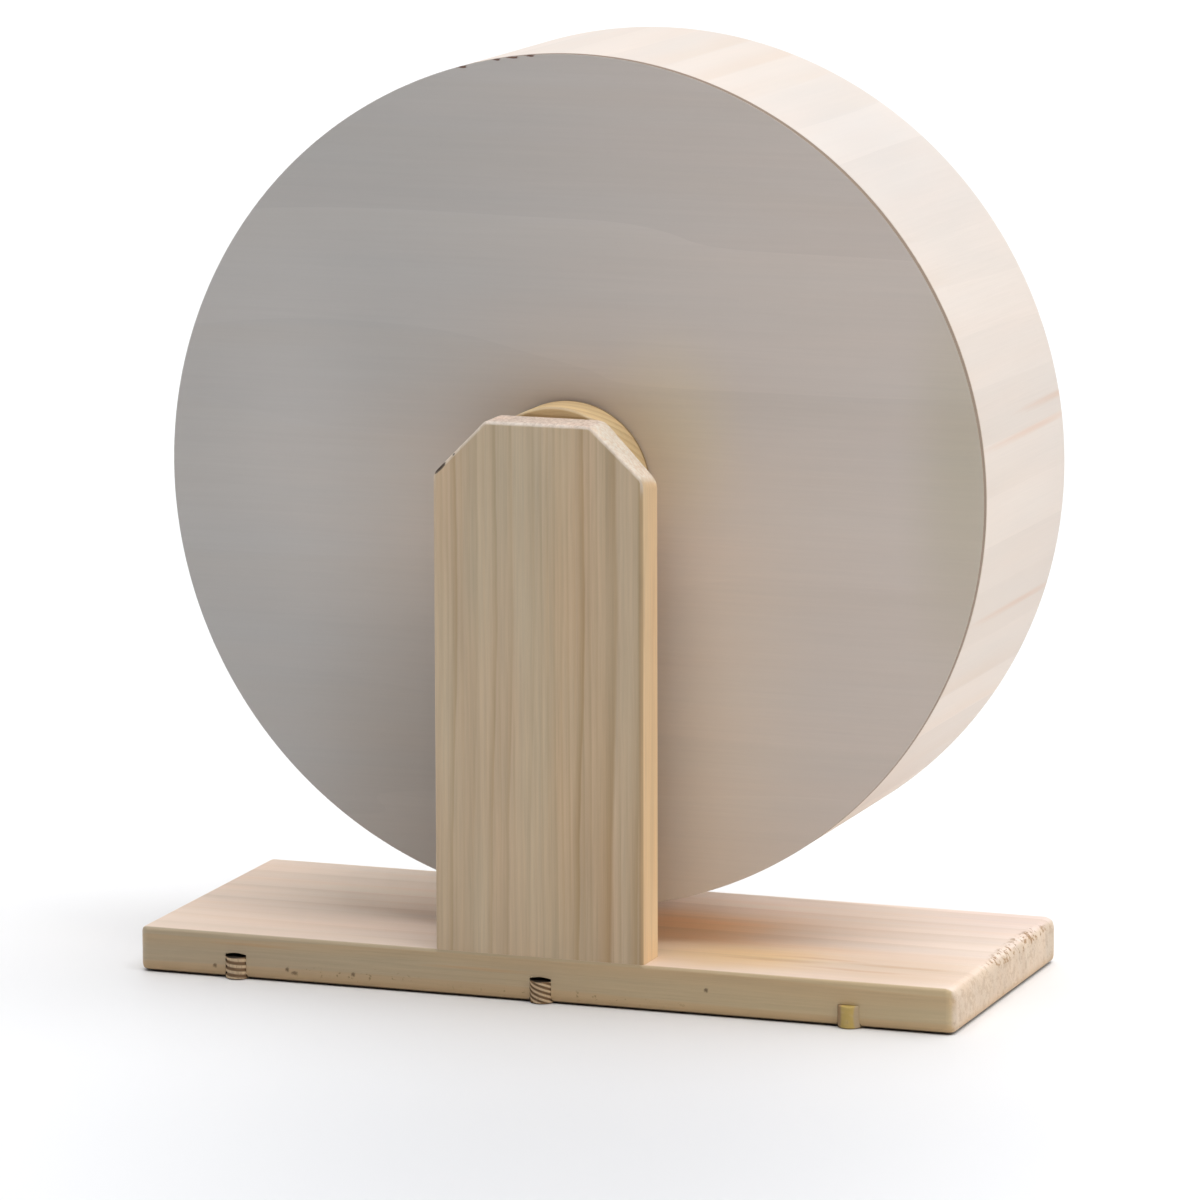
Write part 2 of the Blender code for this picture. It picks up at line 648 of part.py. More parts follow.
def make_hub_block(drum_axis):
    """The turned block between the post and the disc, bored for the rear bearing."""
    profile = [
        (POCKET_RADIUS, 0),
        (HUB_RADIUS - HUB_EDGE_EASE, 0),
        (HUB_RADIUS, HUB_EDGE_EASE),
        (HUB_RADIUS, HUB_THICKNESS),
        (HUB_BORE_RADIUS, HUB_THICKNESS),
        (HUB_BORE_RADIUS, BEARING_WIDTH + SEAT_GAP),
        (POCKET_RADIUS, BEARING_WIDTH + SEAT_GAP),
    ]
    mesh = turned_mesh("hub_block", profile, HUB_STEPS)
    block = put("hub_block", mesh, GOLDEN_WOOD, (0, HUB_Y, 0), drum_axis)
    pilot = turned_mesh(
        "hub_pilot",
        rod_profile(
            HUB_SCREW_RADIUS + SLIDE_GAP,
            HUB_THICKNESS - HUB_SCREW_BITE - SEAT_GAP,
            HUB_THICKNESS + CUT_OVERRUN,
        ),
        SMALL_STEPS,
    )
    for number, (x, z) in enumerate(hub_screw_places(), 1):
        cut(block, f"hub_pilot_{number}", pilot, (x, HUB_Y, z), drum_axis)


def make_disc(drum_axis):
    """The closed back of the drum: one thin plywood disc with a hole at its centre."""
    profile = ring_profile(HUB_BORE_RADIUS, DRUM_RADIUS, 0, DISC_THICKNESS)
    mesh = turned_mesh("back_disc", profile, RIM_STEPS_PER_KERF * kerf_count())
    disc = put("back_disc", mesh, PLYWOOD, (0, DISC_Y, 0), drum_axis)
    hole = turned_mesh(
        "disc_screw_hole",
        rod_profile(
            HUB_SCREW_RADIUS + SLIDE_GAP, -CUT_OVERRUN, DISC_THICKNESS + CUT_OVERRUN
        ),
        SMALL_STEPS,
    )
    for number, (x, z) in enumerate(hub_screw_places(), 1):
        cut(disc, f"disc_screw_hole_{number}", hole, (x, DISC_Y, z), drum_axis)


def make_hub_plate(drum_axis):
    """The round plate inside the drum, bored for the front bearing and countersunk."""
    profile = [
        (POCKET_RADIUS, 0),
        (HUB_RADIUS, 0),
        (HUB_RADIUS, PLATE_THICKNESS - HUB_EDGE_EASE),
        (HUB_RADIUS - HUB_EDGE_EASE, PLATE_THICKNESS),
        (POCKET_RADIUS, PLATE_THICKNESS),
    ]
    mesh = turned_mesh("hub_plate", profile, HUB_STEPS)
    plate = put("hub_plate", mesh, GOLDEN_WOOD, (0, PLATE_Y, 0), drum_axis)
    hole = turned_mesh(
        "plate_screw_hole",
        countersink_profile(
            HUB_SCREW_HEAD_RADIUS,
            HUB_SCREW_HEAD_HEIGHT,
            HUB_SCREW_RADIUS,
            PLATE_THICKNESS + CUT_OVERRUN,
            0,
        ),
        SMALL_STEPS,
    )
    front = PLATE_Y + PLATE_THICKNESS
    for number, (x, z) in enumerate(hub_screw_places(), 1):
        place = (x, front, z)
        cut(plate, f"plate_screw_hole_{number}", hole, place, drum_axis, (0, 0, math.pi))


def make_hub_screws(drum_axis):
    """The screws that clamp plate, disc and block together from inside the drum."""
    length = PLATE_THICKNESS + DISC_THICKNESS + 2 * SEAT_GAP + HUB_SCREW_BITE
    profile = screw_profile(
        HUB_SCREW_HEAD_RADIUS, HUB_SCREW_HEAD_HEIGHT, HUB_SCREW_RADIUS, length
    )
    screw = turned_mesh("hub_screw", profile, SMALL_STEPS)
    front = PLATE_Y + PLATE_THICKNESS
    for number, (x, z) in enumerate(hub_screw_places(), 1):
        put(f"hub_screw_{number}", screw, ZINC, (x, front, z), drum_axis, (0, 0, math.pi))


def kerf_count():
    """How many saw kerfs fit round the inside of the band."""
    inside = 2 * math.pi * (DRUM_RADIUS - BAND_THICKNESS)
    return round(inside / KERF_SPACING)


def band_section(bm):
    """Draw the band's section as a row of cells, one for each kerf.

    A cell has wood, a kerf and wood again. The row's two ends meet at a short slanted lap,
    where the bent strip is glued to itself, with the seat gap between them.
    """
    cells = kerf_count()
    inner = DRUM_RADIUS - BAND_THICKNESS
    root = inner + KERF_DEPTH
    pitch = (2 * math.pi - SEAT_GAP / DRUM_RADIUS) / cells
    half_kerf = KERF_WIDTH / 2 / inner
    lap = LAP_SHARE * (pitch / 2 - half_kerf)

    def corner(radius, turn):
        return bm.verts.new((radius * math.cos(turn), 0, radius * math.sin(turn)))

    def side(cell):
        start = LAP_ANGLE + cell * pitch
        slant = lap if cell in (0, cells) else 0
        return corner(DRUM_RADIUS, start), corner(inner, start + slant)

    outer, under = side(0)
    for cell in range(cells):
        middle = LAP_ANGLE + (cell + 1 / 2) * pitch
        next_outer, next_under = side(cell + 1)
        kerf = [
            corner(inner, middle + half_kerf),
            corner(root, middle + half_kerf),
            corner(root, middle - half_kerf),
            corner(inner, middle - half_kerf),
        ]
        crown = corner(DRUM_RADIUS, middle)
        bm.faces.new([outer, crown, next_outer, next_under, *kerf, under])
        outer, under = next_outer, next_under


def make_band(drum_axis):
    """The bent band: kerfs sawn across its inside let it bend, and give the animal its grip."""
    bm = bmesh.new()
    band_section(bm)
    grown = bmesh.ops.extrude_face_region(bm, geom=list(bm.faces))
    mouth = [v for v in grown["geom"] if isinstance(v, bmesh.types.BMVert)]
    bmesh.ops.translate(bm, vec=(0, BAND_LENGTH, 0), verts=mouth)
    mesh = mesh_from("rim_band", bm, smooth=True)
    band_y = DISC_Y + DISC_THICKNESS + SEAT_GAP
    put("rim_band", mesh, BAND_VENEER, (0, band_y, 0), drum_axis)


def build():
    """Make the whole wheel."""
    clear_scene()
    stand = axis_empty("stand", 0)
    axle = axis_empty("axle_line", AXLE_HEIGHT)
    drum_axis = axis_empty("drum_axis", AXLE_HEIGHT)
    rear_cage_axis = axis_empty("rear_cage_axis", AXLE_HEIGHT)
    front_cage_axis = axis_empty("front_cage_axis", AXLE_HEIGHT)
    make_base_board(stand)
    make_post(stand)
    make_edge_dowels(stand)
    make_post_fixings(stand)
    make_axle(axle)
    make_bearing("rear", HUB_Y, -1, axle, drum_axis, rear_cage_axis)
    make_bearing("front", PLATE_Y, 1, axle, drum_axis, front_cage_axis)
    make_hub_block(drum_axis)
    make_disc(drum_axis)
    make_band(drum_axis)
    make_hub_plate(drum_axis)
    make_hub_screws(drum_axis)


build()
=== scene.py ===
# %% [markdown]
# # A wooden exercise wheel for small rodents
# The object is a closed plywood drum that turns on two ball bearings, in front of an upright pine
# post on a pine base board. The imported CAD model has every piece at its true size, on the body
# that it moves with. This script puts a finer mesh over each piece, gives it a finish made of
# shader nodes, and adds a floor, light and a camera.
#
# The first cell loads the CAD model and keeps its box.

# %% Load the CAD model
import json
import math

import bmesh
import bpy
from mathutils import Matrix, Vector, noise

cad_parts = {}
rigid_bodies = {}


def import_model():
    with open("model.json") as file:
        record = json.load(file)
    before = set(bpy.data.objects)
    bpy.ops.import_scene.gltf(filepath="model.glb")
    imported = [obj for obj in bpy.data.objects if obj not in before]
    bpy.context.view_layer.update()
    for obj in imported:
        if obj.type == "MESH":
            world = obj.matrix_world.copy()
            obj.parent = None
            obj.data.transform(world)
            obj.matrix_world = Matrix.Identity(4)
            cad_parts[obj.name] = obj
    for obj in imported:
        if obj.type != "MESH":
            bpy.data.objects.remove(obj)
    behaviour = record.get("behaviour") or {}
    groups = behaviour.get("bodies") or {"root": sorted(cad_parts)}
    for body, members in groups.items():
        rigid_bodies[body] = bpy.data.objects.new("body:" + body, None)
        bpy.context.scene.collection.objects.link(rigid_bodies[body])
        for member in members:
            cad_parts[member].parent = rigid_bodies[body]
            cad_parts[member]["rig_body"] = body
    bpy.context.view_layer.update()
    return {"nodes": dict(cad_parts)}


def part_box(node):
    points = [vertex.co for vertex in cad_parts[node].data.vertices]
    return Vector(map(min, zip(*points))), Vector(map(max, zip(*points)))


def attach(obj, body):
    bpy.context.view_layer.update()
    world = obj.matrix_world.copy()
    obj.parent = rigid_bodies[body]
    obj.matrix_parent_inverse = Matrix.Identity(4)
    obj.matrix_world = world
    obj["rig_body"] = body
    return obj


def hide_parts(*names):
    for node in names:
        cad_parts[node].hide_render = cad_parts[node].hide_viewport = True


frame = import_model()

# %% [markdown]
# ## Measure the CAD pieces
# A finer mesh has to sit where its CAD piece sits. Its size could be typed in again, but a typed
# number can drift away from the model. Asking for the piece's box is safer: its lowest and
# highest corner give lengths, radii and places along the axle. Blender counts in metres, and MM
# turns a number of millimetres into them.

# %% Sizes that several pieces share
MM = 0.001
FULL_TURN = 2 * math.pi
POST_LOW, POST_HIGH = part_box("post")
BASE_LOW, BASE_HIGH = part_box("base_board")
DISC_LOW, DISC_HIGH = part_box("back_disc")
AXLE_HEIGHT = (DISC_LOW.z + DISC_HIGH.z) / 2
DRUM_RADIUS = (DISC_HIGH.z - DISC_LOW.z) / 2
print(f"drum radius {DRUM_RADIUS / MM:.1f} mm, axle {AXLE_HEIGHT / MM:.1f} mm above the floor")


def box_middle(node):
    """The middle of a CAD piece's box."""
    low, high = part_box(node)
    return (low + high) / 2


def side_radius(node):
    """The radius of an upright round CAD piece."""
    low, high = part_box(node)
    return (high.x - low.x) / 2


def upright_at(node, height=0.0):
    """The place of an upright piece's axis, at this height."""
    middle = box_middle(node)
    return Matrix.Translation((middle.x, middle.y, height))


# %% [markdown]
# ## From a loose mesh to a piece of the object
# Meshes here are built with bmesh, Blender's editable mesh, because it makes points and faces
# directly. A finished bmesh becomes an object. Then it takes a material, rides on the same body
# as the CAD piece that it stands for, and hides that CAD piece.

# %% Helpers that make and place a piece
SMOOTH_BELOW = math.radians(32)


def new_object(name, data):
    """Put a mesh, a light or a camera into the scene."""
    made = bpy.data.objects.new(name, data)
    bpy.context.scene.collection.objects.link(made)
    return made


def make_object(name, bm):
    """Close off a bmesh as an object, its faces pointing out."""
    bmesh.ops.recalc_face_normals(bm, faces=bm.faces)
    mesh = bpy.data.meshes.new(name)
    bm.to_mesh(mesh)
    bm.free()
    return new_object(name, mesh)


def stand_for(piece, material, node, is_sharp=None):
    """Dress a piece, hang it on its CAD node's body, and hide that node.

    is_sharp(middle) names edges that stay sharp although their faces lean little.
    """
    piece.data.materials.clear()
    piece.data.materials.append(material)
    piece.data.shade_smooth()
    piece.data.set_sharp_from_angle(angle=SMOOTH_BELOW)
    for edge in piece.data.edges if is_sharp else []:
        ends = [piece.data.vertices[number].co for number in edge.vertices]
        edge.use_edge_sharp = edge.use_edge_sharp or is_sharp((ends[0] + ends[1]) / 2)
    weighted = piece.modifiers.new("flat faces stay flat", "WEIGHTED_NORMAL")
    weighted.keep_sharp = True
    keep_change(piece)
    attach(piece, frame["nodes"][node]["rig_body"])
    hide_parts(node)
    print(f"{piece.name}: {len(piece.data.polygons)} faces, stands for {node}")


def dress(node, bm, material):
    """Make a piece that needs no cutting, and let it stand for its CAD node."""
    stand_for(make_object(f"fine_{node}", bm), material, node)


# %% [markdown]
# ## Make a change for good
# A modifier can round edges or cut holes without touching the mesh. A piece that is cut several
# times is easier to follow when each change is made for good before the next one. The depsgraph
# gives the mesh as the modifiers leave it, and that mesh takes the old one's place.

# %% Helpers that round and cut a piece


def keep_change(piece):
    """Swap a piece's mesh for what its modifiers make of it."""
    graph = bpy.context.evaluated_depsgraph_get()
    changed = bpy.data.meshes.new_from_object(piece.evaluated_get(graph))
    before = piece.data
    piece.modifiers.clear()
    piece.data = changed
    bpy.data.meshes.remove(before)


def round_edges(piece, radius, share_of, steps=4):
    """Round the sharp edges; share_of(middle) gives each edge's share of the radius."""
    bm = bmesh.new()
    bm.from_mesh(piece.data)
    weight = bm.edges.layers.float.new("bevel_weight_edge")
    for edge in bm.edges:
        middle = (edge.verts[0].co + edge.verts[1].co) / 2
        is_flat = edge.calc_face_angle(0) < SMOOTH_BELOW
        edge[weight] = 0.0 if is_flat else share_of(middle)
    bm.to_mesh(piece.data)
    bm.free()
    bevel = piece.modifiers.new("rounding", "BEVEL")
    bevel.limit_method = "WEIGHT"
    bevel.width = radius
    bevel.segments = steps
    bevel.harden_normals = False
    keep_change(piece)


def carve(piece, cutters):
    """Cut shapes out of a piece for good. Each cutter is a bmesh, already in place."""
    for bm in cutters:
        cutter = make_object("cutter", bm)
        boolean = piece.modifiers.new("cut", "BOOLEAN")
        boolean.operation = "DIFFERENCE"
        boolean.solver = "EXACT"
        boolean.object = cutter
        keep_change(piece)
        cutter_mesh = cutter.data
        bpy.data.objects.remove(cutter)
        bpy.data.meshes.remove(cutter_mesh)


# %% [markdown]
# ## Turned pieces
# Most of the hardware is round, and a lathe shape is a section swept about its axis. Blender's
# Screw modifier could sweep it. Doing it in code lets each point move in or out a little with its
# place on the surface, and one function then also makes screw threads, pressed ridges and
# tool marks.

# %% Helpers for lathe shapes
ALONG_AXLE = Matrix.Translation((0, 0, AXLE_HEIGHT)) @ Matrix.Rotation(-math.pi / 2, 4, "X")


def rounded(corners, steps=4):
    """A closed outline from (x, y, radius) corners, each corner rounded by its radius."""
    outline = []
    for number, (x, y, radius) in enumerate(corners):
        here = Vector((x, y))
        if radius == 0:
            outline.append(here)
            continue
        before = (Vector(corners[number - 1][:2]) - here).normalized()
        after = (Vector(corners[(number + 1) % len(corners)][:2]) - here).normalized()
        half = before.angle(after) / 2
        centre = here + (before + after).normalized() * radius / math.sin(half)
        start = here + before * radius / math.tan(half) - centre
        end = here + after * radius / math.tan(half) - centre
        for step in range(steps + 1):
            outline.append(centre + radius * start.slerp(end, step / steps))
    return outline


def divided(outline, spacing):
    """The same outline with its long stretches split, so that relief has points to move."""
    fine = []
    for here, after in zip(outline, outline[1:] + outline[:1]):
        fine.append(here)
        if here.x < spacing and after.x < spacing:
            continue
        count = math.ceil((after - here).length / spacing)
        fine += [here.lerp(after, step / count) for step in range(1, count)]
    return fine


def skin(bm, lower, upper):
    """Join two rings of points with faces. A ring may be one single point on the axis."""
    count = max(len(lower), len(upper))
    for step in range(count if len(lower) + len(upper) > 2 else 0):
        after = (step + 1) % count
        corners = [
            lower[step % len(lower)],
            lower[after % len(lower)],
            upper[after % len(upper)],
            upper[step % len(upper)],
        ]
        bm.faces.new(list(dict.fromkeys(corners)))


def turned(outline, steps, place=ALONG_AXLE, relief=None):
    """Sweep a closed outline of (radius, height) points about an axis.

    relief(turn, radius, height) is how far a point sinks in towards the axis.
    """
    bm = bmesh.new()
    rings = []
    for radius, height in outline:
        ring = []
        for step in range(steps if radius > MM / 1000 else 1):
            turn = FULL_TURN * step / steps
            reach = radius - (relief(turn, radius, height) if relief else 0)
            ring.append(bm.verts.new((reach * math.cos(turn), reach * math.sin(turn), height)))
        rings.append(ring)
    for lower, upper in zip(rings, rings[1:] + rings[:1]):
        skin(bm, lower, upper)
    bmesh.ops.transform(bm, matrix=place, verts=bm.verts)
    return bm


def ring_outline(inner, outer, start, end, radius):
    """The section of a ring or tube with rounded corners."""
    corners = ((inner, start), (outer, start), (outer, end), (inner, end))
    return rounded([(x, y, radius) for x, y in corners])


def rod_outline(radius, start, end, edge):
    """The section of a solid rod with rounded ends."""
    return rounded([(0, start, 0), (radius, start, edge), (radius, end, edge), (0, end, 0)])


# %% [markdown]
# ## Node helpers
# A finish is a tree of shader nodes. Adding nodes by hand in code is wordy, so these helpers add
# one node each and give back the output that the next node takes. A value can be a plain number,
# a colour, or another node's output.

# %% Helpers that add shader nodes


def plug(tree, value, socket):
    """Set a socket to a plain value, or link an output to it."""
    if isinstance(value, bpy.types.NodeSocket):
        tree.links.new(value, socket)
    elif hasattr(value, "__len__") and len(value) == 3 and socket.type == "RGBA":
        socket.default_value = (*value, 1.0)
    else:
        socket.default_value = value


def add(tree, kind, inputs=None, **settings):
    """Add one node, with its settings and its inputs."""
    node = tree.nodes.new(kind)
    for name, value in settings.items():
        setattr(node, name, value)
    for name, value in (inputs or {}).items():
        plug(tree, value, node.inputs[name])
    return node


def maths(tree, operation, *values, clamp=False):
    """Add a Math node."""
    node = add(tree, "ShaderNodeMath", operation=operation, use_clamp=clamp)
    for value, socket in zip(values, node.inputs):
        plug(tree, value, socket)
    return node.outputs[0]


def times(tree, first, second):
    """Multiply two values."""
    return maths(tree, "MULTIPLY", first, second)


def vector_maths(tree, operation, *values, output="Vector"):
    """Add a Vector Math node."""
    node = add(tree, "ShaderNodeVectorMath", operation=operation)
    for value, socket in zip(values, node.inputs):
        plug(tree, value, socket)
    return node.outputs[output]


def length_of(tree, vector):
    """The length of a vector."""
    return vector_maths(tree, "LENGTH", vector, output="Value")


def ranged(tree, value, low, high, to_low=0.0, to_high=1.0, kind="SMOOTHSTEP"):
    """Bring a value from one range to another, and hold it there."""
    node = add(tree, "ShaderNodeMapRange", interpolation_type=kind)
    for given, socket in zip((value, low, high, to_low, to_high), node.inputs):
        plug(tree, given, socket)
    return node.outputs[0]


def mixed(tree, share, first, second, kind="MIX"):
    """Mix two colours."""
    node = add(tree, "ShaderNodeMix", data_type="RGBA", blend_type=kind)
    plug(tree, share, node.inputs[0])
    plug(tree, first, node.inputs[6])
    plug(tree, second, node.inputs[7])
    return node.outputs[2]


def noise_at(tree, place, scale, detail=2.0, roughness=0.5):
    """Soft random values from 0 to 1 in space."""
    inputs = {"Vector": place, "Scale": scale, "Detail": detail, "Roughness": roughness}
    return add(tree, "ShaderNodeTexNoise", inputs).outputs["Fac"]


def waver(tree, place, scale, detail=2.0):
    """Soft random values round 0."""
    return maths(tree, "SUBTRACT", noise_at(tree, place, scale, detail), 0.5)


def split(tree, place):
    """The three parts of a vector."""
    return add(tree, "ShaderNodeSeparateXYZ", {"Vector": place}).outputs


def joined(tree, x, y, z):
    """A vector from its three parts."""
    return add(tree, "ShaderNodeCombineXYZ", {"X": x, "Y": y, "Z": z}).outputs["Vector"]


# %% [markdown]
# ## Node groups
# An effect that several finishes use, such as growth rings or worn edges, is built once as a node
# group, with named inputs and outputs, and each material gives it values of its own.

# %% Helpers that build and place a node group


def new_group(name, takes, gives):
    """Start a group. takes is {input: value} and gives is {output: kind}.

    An input whose name ends in Colour is a colour, else three numbers make it a vector.
    """
    tree = bpy.data.node_groups.new(name, "ShaderNodeTree")
    for label, value in takes.items():
        kind = "Vector" if isinstance(value, tuple) else "Float"
        kind = "Color" if label.endswith("Colour") else kind
        socket_type = "NodeSocket" + kind
        socket = tree.interface.new_socket(label, in_out="INPUT", socket_type=socket_type)
        socket.default_value = (*value, 1.0) if kind == "Color" else value
    for label, kind in gives.items():
        tree.interface.new_socket(label, in_out="OUTPUT", socket_type="NodeSocket" + kind)
    return tree, tree.nodes.new("NodeGroupInput").outputs, tree.nodes.new("NodeGroupOutput").inputs


def place_group(tree, group, inputs):
    """Place a group in another tree and give back its outputs."""
    node = tree.nodes.new("ShaderNodeGroup")
    node.node_tree = group
    for label, value in inputs.items():
        plug(tree, value, node.inputs[label])
    return node.outputs


# %% [markdown]
# ### Growth rings
# A tree grows in rings round its pith. A board shows them as lines that depend on where it was
# sawn, so a flat picture of grain never fits round a corner. Here the rings are solid: each point
# asks how far it is from the pith, and the lines on every face then belong together. Noise,
# drawn out along the grain, lets the rings wander.

# %% Group: growth rings
growth_rings, take, give = new_group("growth_rings", {
    "Place": (0, 0, 0),
    "Pith": (0, 0, 0),
    "Ring Width": 3 * MM,
    "Wander": 1 * MM,
}, {"Late Wood": "Float", "Ring Tone": "Float"})
tree = growth_rings
drawn_out = vector_maths(tree, "MULTIPLY", take["Place"], (1, 1, 0.12))
drift = waver(tree, drawn_out, 22)
offset = vector_maths(tree, "SUBTRACT", take["Place"], take["Pith"])
across = vector_maths(tree, "MULTIPLY", offset, (1, 1, 0))
radius = length_of(tree, across)
bent = maths(tree, "MULTIPLY_ADD", drift, take["Wander"], radius)
rings = maths(tree, "DIVIDE", bent, take["Ring Width"])
part = maths(tree, "FRACT", rings)
rise = ranged(tree, part, 0.3, 0.92)
fall = ranged(tree, part, 0.92, 1.0, 1.0, 0.0)
plug(tree, times(tree, rise, fall), give["Late Wood"])
number = maths(tree, "FLOOR", rings)
tone = add(tree, "ShaderNodeTexWhiteNoise", {"W": number}, noise_dimensions="1D")
plug(tree, tone.outputs["Value"], give["Ring Tone"])
print("growth_rings:", len(tree.nodes), "nodes")


def rings_round(tree, place, pith, width, wander):
    """Growth rings round a pith. Their width and how far they wander are in millimetres."""
    inputs = {"Place": place, "Pith": pith, "Ring Width": width * MM, "Wander": wander * MM}
    return place_group(tree, growth_rings, inputs)


# %% [markdown]
# ### Raw wood
# Every wooden piece here is sanded and has no varnish. What they share is one group: fine fibres along
# the grain, blotches that are a little warmer or cooler, darker end grain, and paler edges, partly worn
# by sanding and partly a painted highlight. Each wood brings its own rings and its own two colours.

# %% Group: raw wood
raw_wood, take, give = new_group("raw_wood", {
    "Place": (0, 0, 0),
    "Early Colour": (0.74, 0.58, 0.40),
    "Late Colour": (0.52, 0.36, 0.20),
    "Late Wood": 0.0,
    "Ring Tone": 0.5,
    "Fibre Width": 0.5 * MM,
    "Fibre Strength": 0.12,
    "Blotches": 0.10,
    "End Grain": 0.0,
    "Wear And Highlight": 0.0,
}, {"Color": "Color", "Roughness": "Float", "Height": "Float"})
tree = raw_wood
share = maths(tree, "DIVIDE", 1.0, take["Fibre Width"])
thin = vector_maths(tree, "MULTIPLY", take["Place"], (1, 1, 0.025))
thin = add(tree, "ShaderNodeVectorMath", {"Vector": thin, "Scale": share}, operation="SCALE")
fibres = noise_at(tree, thin.outputs["Vector"], 0.5, 3.0, 0.62)
fibres = ranged(tree, fibres, 0.3, 0.7, -0.5, 0.5, "LINEAR")
broad = vector_maths(tree, "MULTIPLY", take["Place"], (1, 1, 0.14))
blotches = waver(tree, broad, 55)
hue = waver(tree, broad, 90, 1.0)

wood = mixed(tree, take["Late Wood"], take["Early Colour"], take["Late Colour"])
light = maths(tree, "MULTIPLY_ADD", take["Ring Tone"], 0.08, 0.96)
light = maths(tree, "MULTIPLY_ADD", fibres, take["Fibre Strength"], light)
light = maths(tree, "MULTIPLY_ADD", blotches, take["Blotches"], light)
light = maths(tree, "MULTIPLY_ADD", take["End Grain"], -0.14, light)
warmth = times(tree, hue, take["Blotches"])
red = maths(tree, "MULTIPLY_ADD", warmth, 0.5, light)
blue = maths(tree, "MULTIPLY_ADD", warmth, -0.3, light)
wood = mixed(tree, 1.0, wood, joined(tree, red, light, blue), "MULTIPLY")
# Worn edges mix towards cream: wear, and a painted highlight.
pale = mixed(tree, 0.45, wood, (0.95, 0.87, 0.76))
plug(tree, mixed(tree, take["Wear And Highlight"], wood, pale), give["Color"])
rough = maths(tree, "MULTIPLY_ADD", fibres, 0.10, 0.62)
plug(tree, maths(tree, "MULTIPLY_ADD", take["Late Wood"], -0.08, rough), give["Roughness"])
height = maths(tree, "MULTIPLY_ADD", take["Late Wood"], 0.5, maths(tree, "ADD", fibres, 0.5))
plug(tree, height, give["Height"])
print("raw_wood:", len(tree.nodes), "nodes")

# %% [markdown]
# ### Worn and highlit edges, and end grain
# Sanding takes the colour off an edge first, and a rounded edge catches the light, so the paler edge is
# partly wear and partly a painted highlight. A rounded edge is the only place where a board's surface
# doesn't face along one of its axes, so the surface direction alone finds it. For a turned piece the
# three axes become two: away from its axis, and along it.

# %% Group: edges that sanding has worn, paler also as a painted highlight
inputs = {"Facing": (0, 0, 1), "Place": (0, 0, 0)}
worn_and_highlit_edges, take, give = new_group("worn_and_highlit_edges", inputs, {"Wear And Highlight": "Float"})
tree = worn_and_highlit_edges
parts = split(tree, vector_maths(tree, "ABSOLUTE", take["Facing"]))
flat = maths(tree, "MAXIMUM", maths(tree, "MAXIMUM", parts[0], parts[1]), parts[2])
edge = ranged(tree, flat, 0.985, 0.90, 0.0, 1.0)
ragged = ranged(tree, noise_at(tree, take["Place"], 300, 3.0), 0.3, 0.6, 0.45, 1.0)
plug(tree, times(tree, edge, ragged), give["Wear And Highlight"])


def wear_and_highlight_at(tree, facing, place):
    """How worn the surface is, with its painted highlight, from 0 to 1."""
    return place_group(tree, worn_and_highlit_edges, {"Facing": facing, "Place": place})["Wear And Highlight"]


# %% Group: which way a turned piece's surface faces
inputs = {"Normal": (0, 0, 1)}
turned_facing, take, give = new_group("turned_facing", inputs, {"Facing": "Vector"})
tree = turned_facing
parts = split(tree, take["Normal"])
away = length_of(tree, joined(tree, parts[0], 0, parts[2]))
along = maths(tree, "ABSOLUTE", parts[1])
plug(tree, joined(tree, away, along, 0), give["Facing"])
print("worn_and_highlit_edges and turned_facing are ready")

# %% [markdown]
# ### Marks and tones
# Pits, stains and chips each sit at one place. A soft ball of influence round that place, with
# its border broken up by noise, is enough for any of them. Stretching the ball gives streaks. A
# very soft one is a patch where the wood has another tone.

# %% Group: one soft mark
soft_mark, take, give = new_group("soft_mark", {
    "Place": (0, 0, 0),
    "Centre": (0, 0, 0),
    "Reach": (1, 1, 1),
    "Ragged": 0.5,
    "Softness": 0.5,
}, {"Mark": "Float"})
tree = soft_mark
offset = vector_maths(tree, "SUBTRACT", take["Place"], take["Centre"])
offset = vector_maths(tree, "DIVIDE", offset, take["Reach"])
distance = length_of(tree, offset)
border = waver(tree, offset, 2.2, 3.0)
distance = maths(tree, "MULTIPLY_ADD", border, take["Ragged"], distance)
inside = maths(tree, "SUBTRACT", 1.0, take["Softness"])
plug(tree, ranged(tree, distance, inside, 1.0, 1.0, 0.0), give["Mark"])


def marks(tree, place, spots, ragged=0.6, softness=0.5):
    """The strongest of several marks; spots are (centre, reach) in millimetres."""
    found = 0.0
    for centre, reach in spots:
        inputs = {
            "Place": place,
            "Centre": Vector(centre) * MM,
            "Reach": Vector(reach) * MM,
            "Ragged": ragged,
            "Softness": softness,
        }
        mark = place_group(tree, soft_mark, inputs)["Mark"]
        found = maths(tree, "MAXIMUM", found, mark)
    return found


def toned(tree, place, colour, tones, share=None):
    """Lay patches of another tone on a colour; a share says how much of them counts where.

    Each of tones is (centre, reach, ragged, softness, tone), its lengths in millimetres.
    """
    for centre, reach, ragged, softness, tone in tones:
        patch = marks(tree, place, [(centre, reach)], ragged, softness)
        if share:
            patch = times(tree, patch, share)
        colour = mixed(tree, patch, colour, tone)
    return colour


# %% [markdown]
# ### The pieces' own coordinates
# Object coordinates stay with a piece when it turns, and every piece here has its mesh in the
# model's own frame. So a place in millimetres on the object is the same place in its material.

# %% Helpers that start and finish a material
GRAIN_ALONG_X = (0, -math.pi / 2, 0)


def new_material(name, colour, roughness=0.6, metallic=0.0):
    """Start a material, with plain values that its nodes may then take over."""
    material = bpy.data.materials.new(name)
    material.use_nodes = True
    material.diffuse_color = (*colour, 1.0)
    shader = material.node_tree.nodes["Principled BSDF"]
    shader.inputs["Base Color"].default_value = (*colour, 1.0)
    shader.inputs["Roughness"].default_value = roughness
    shader.inputs["Metallic"].default_value = metallic
    return material, material.node_tree, shader


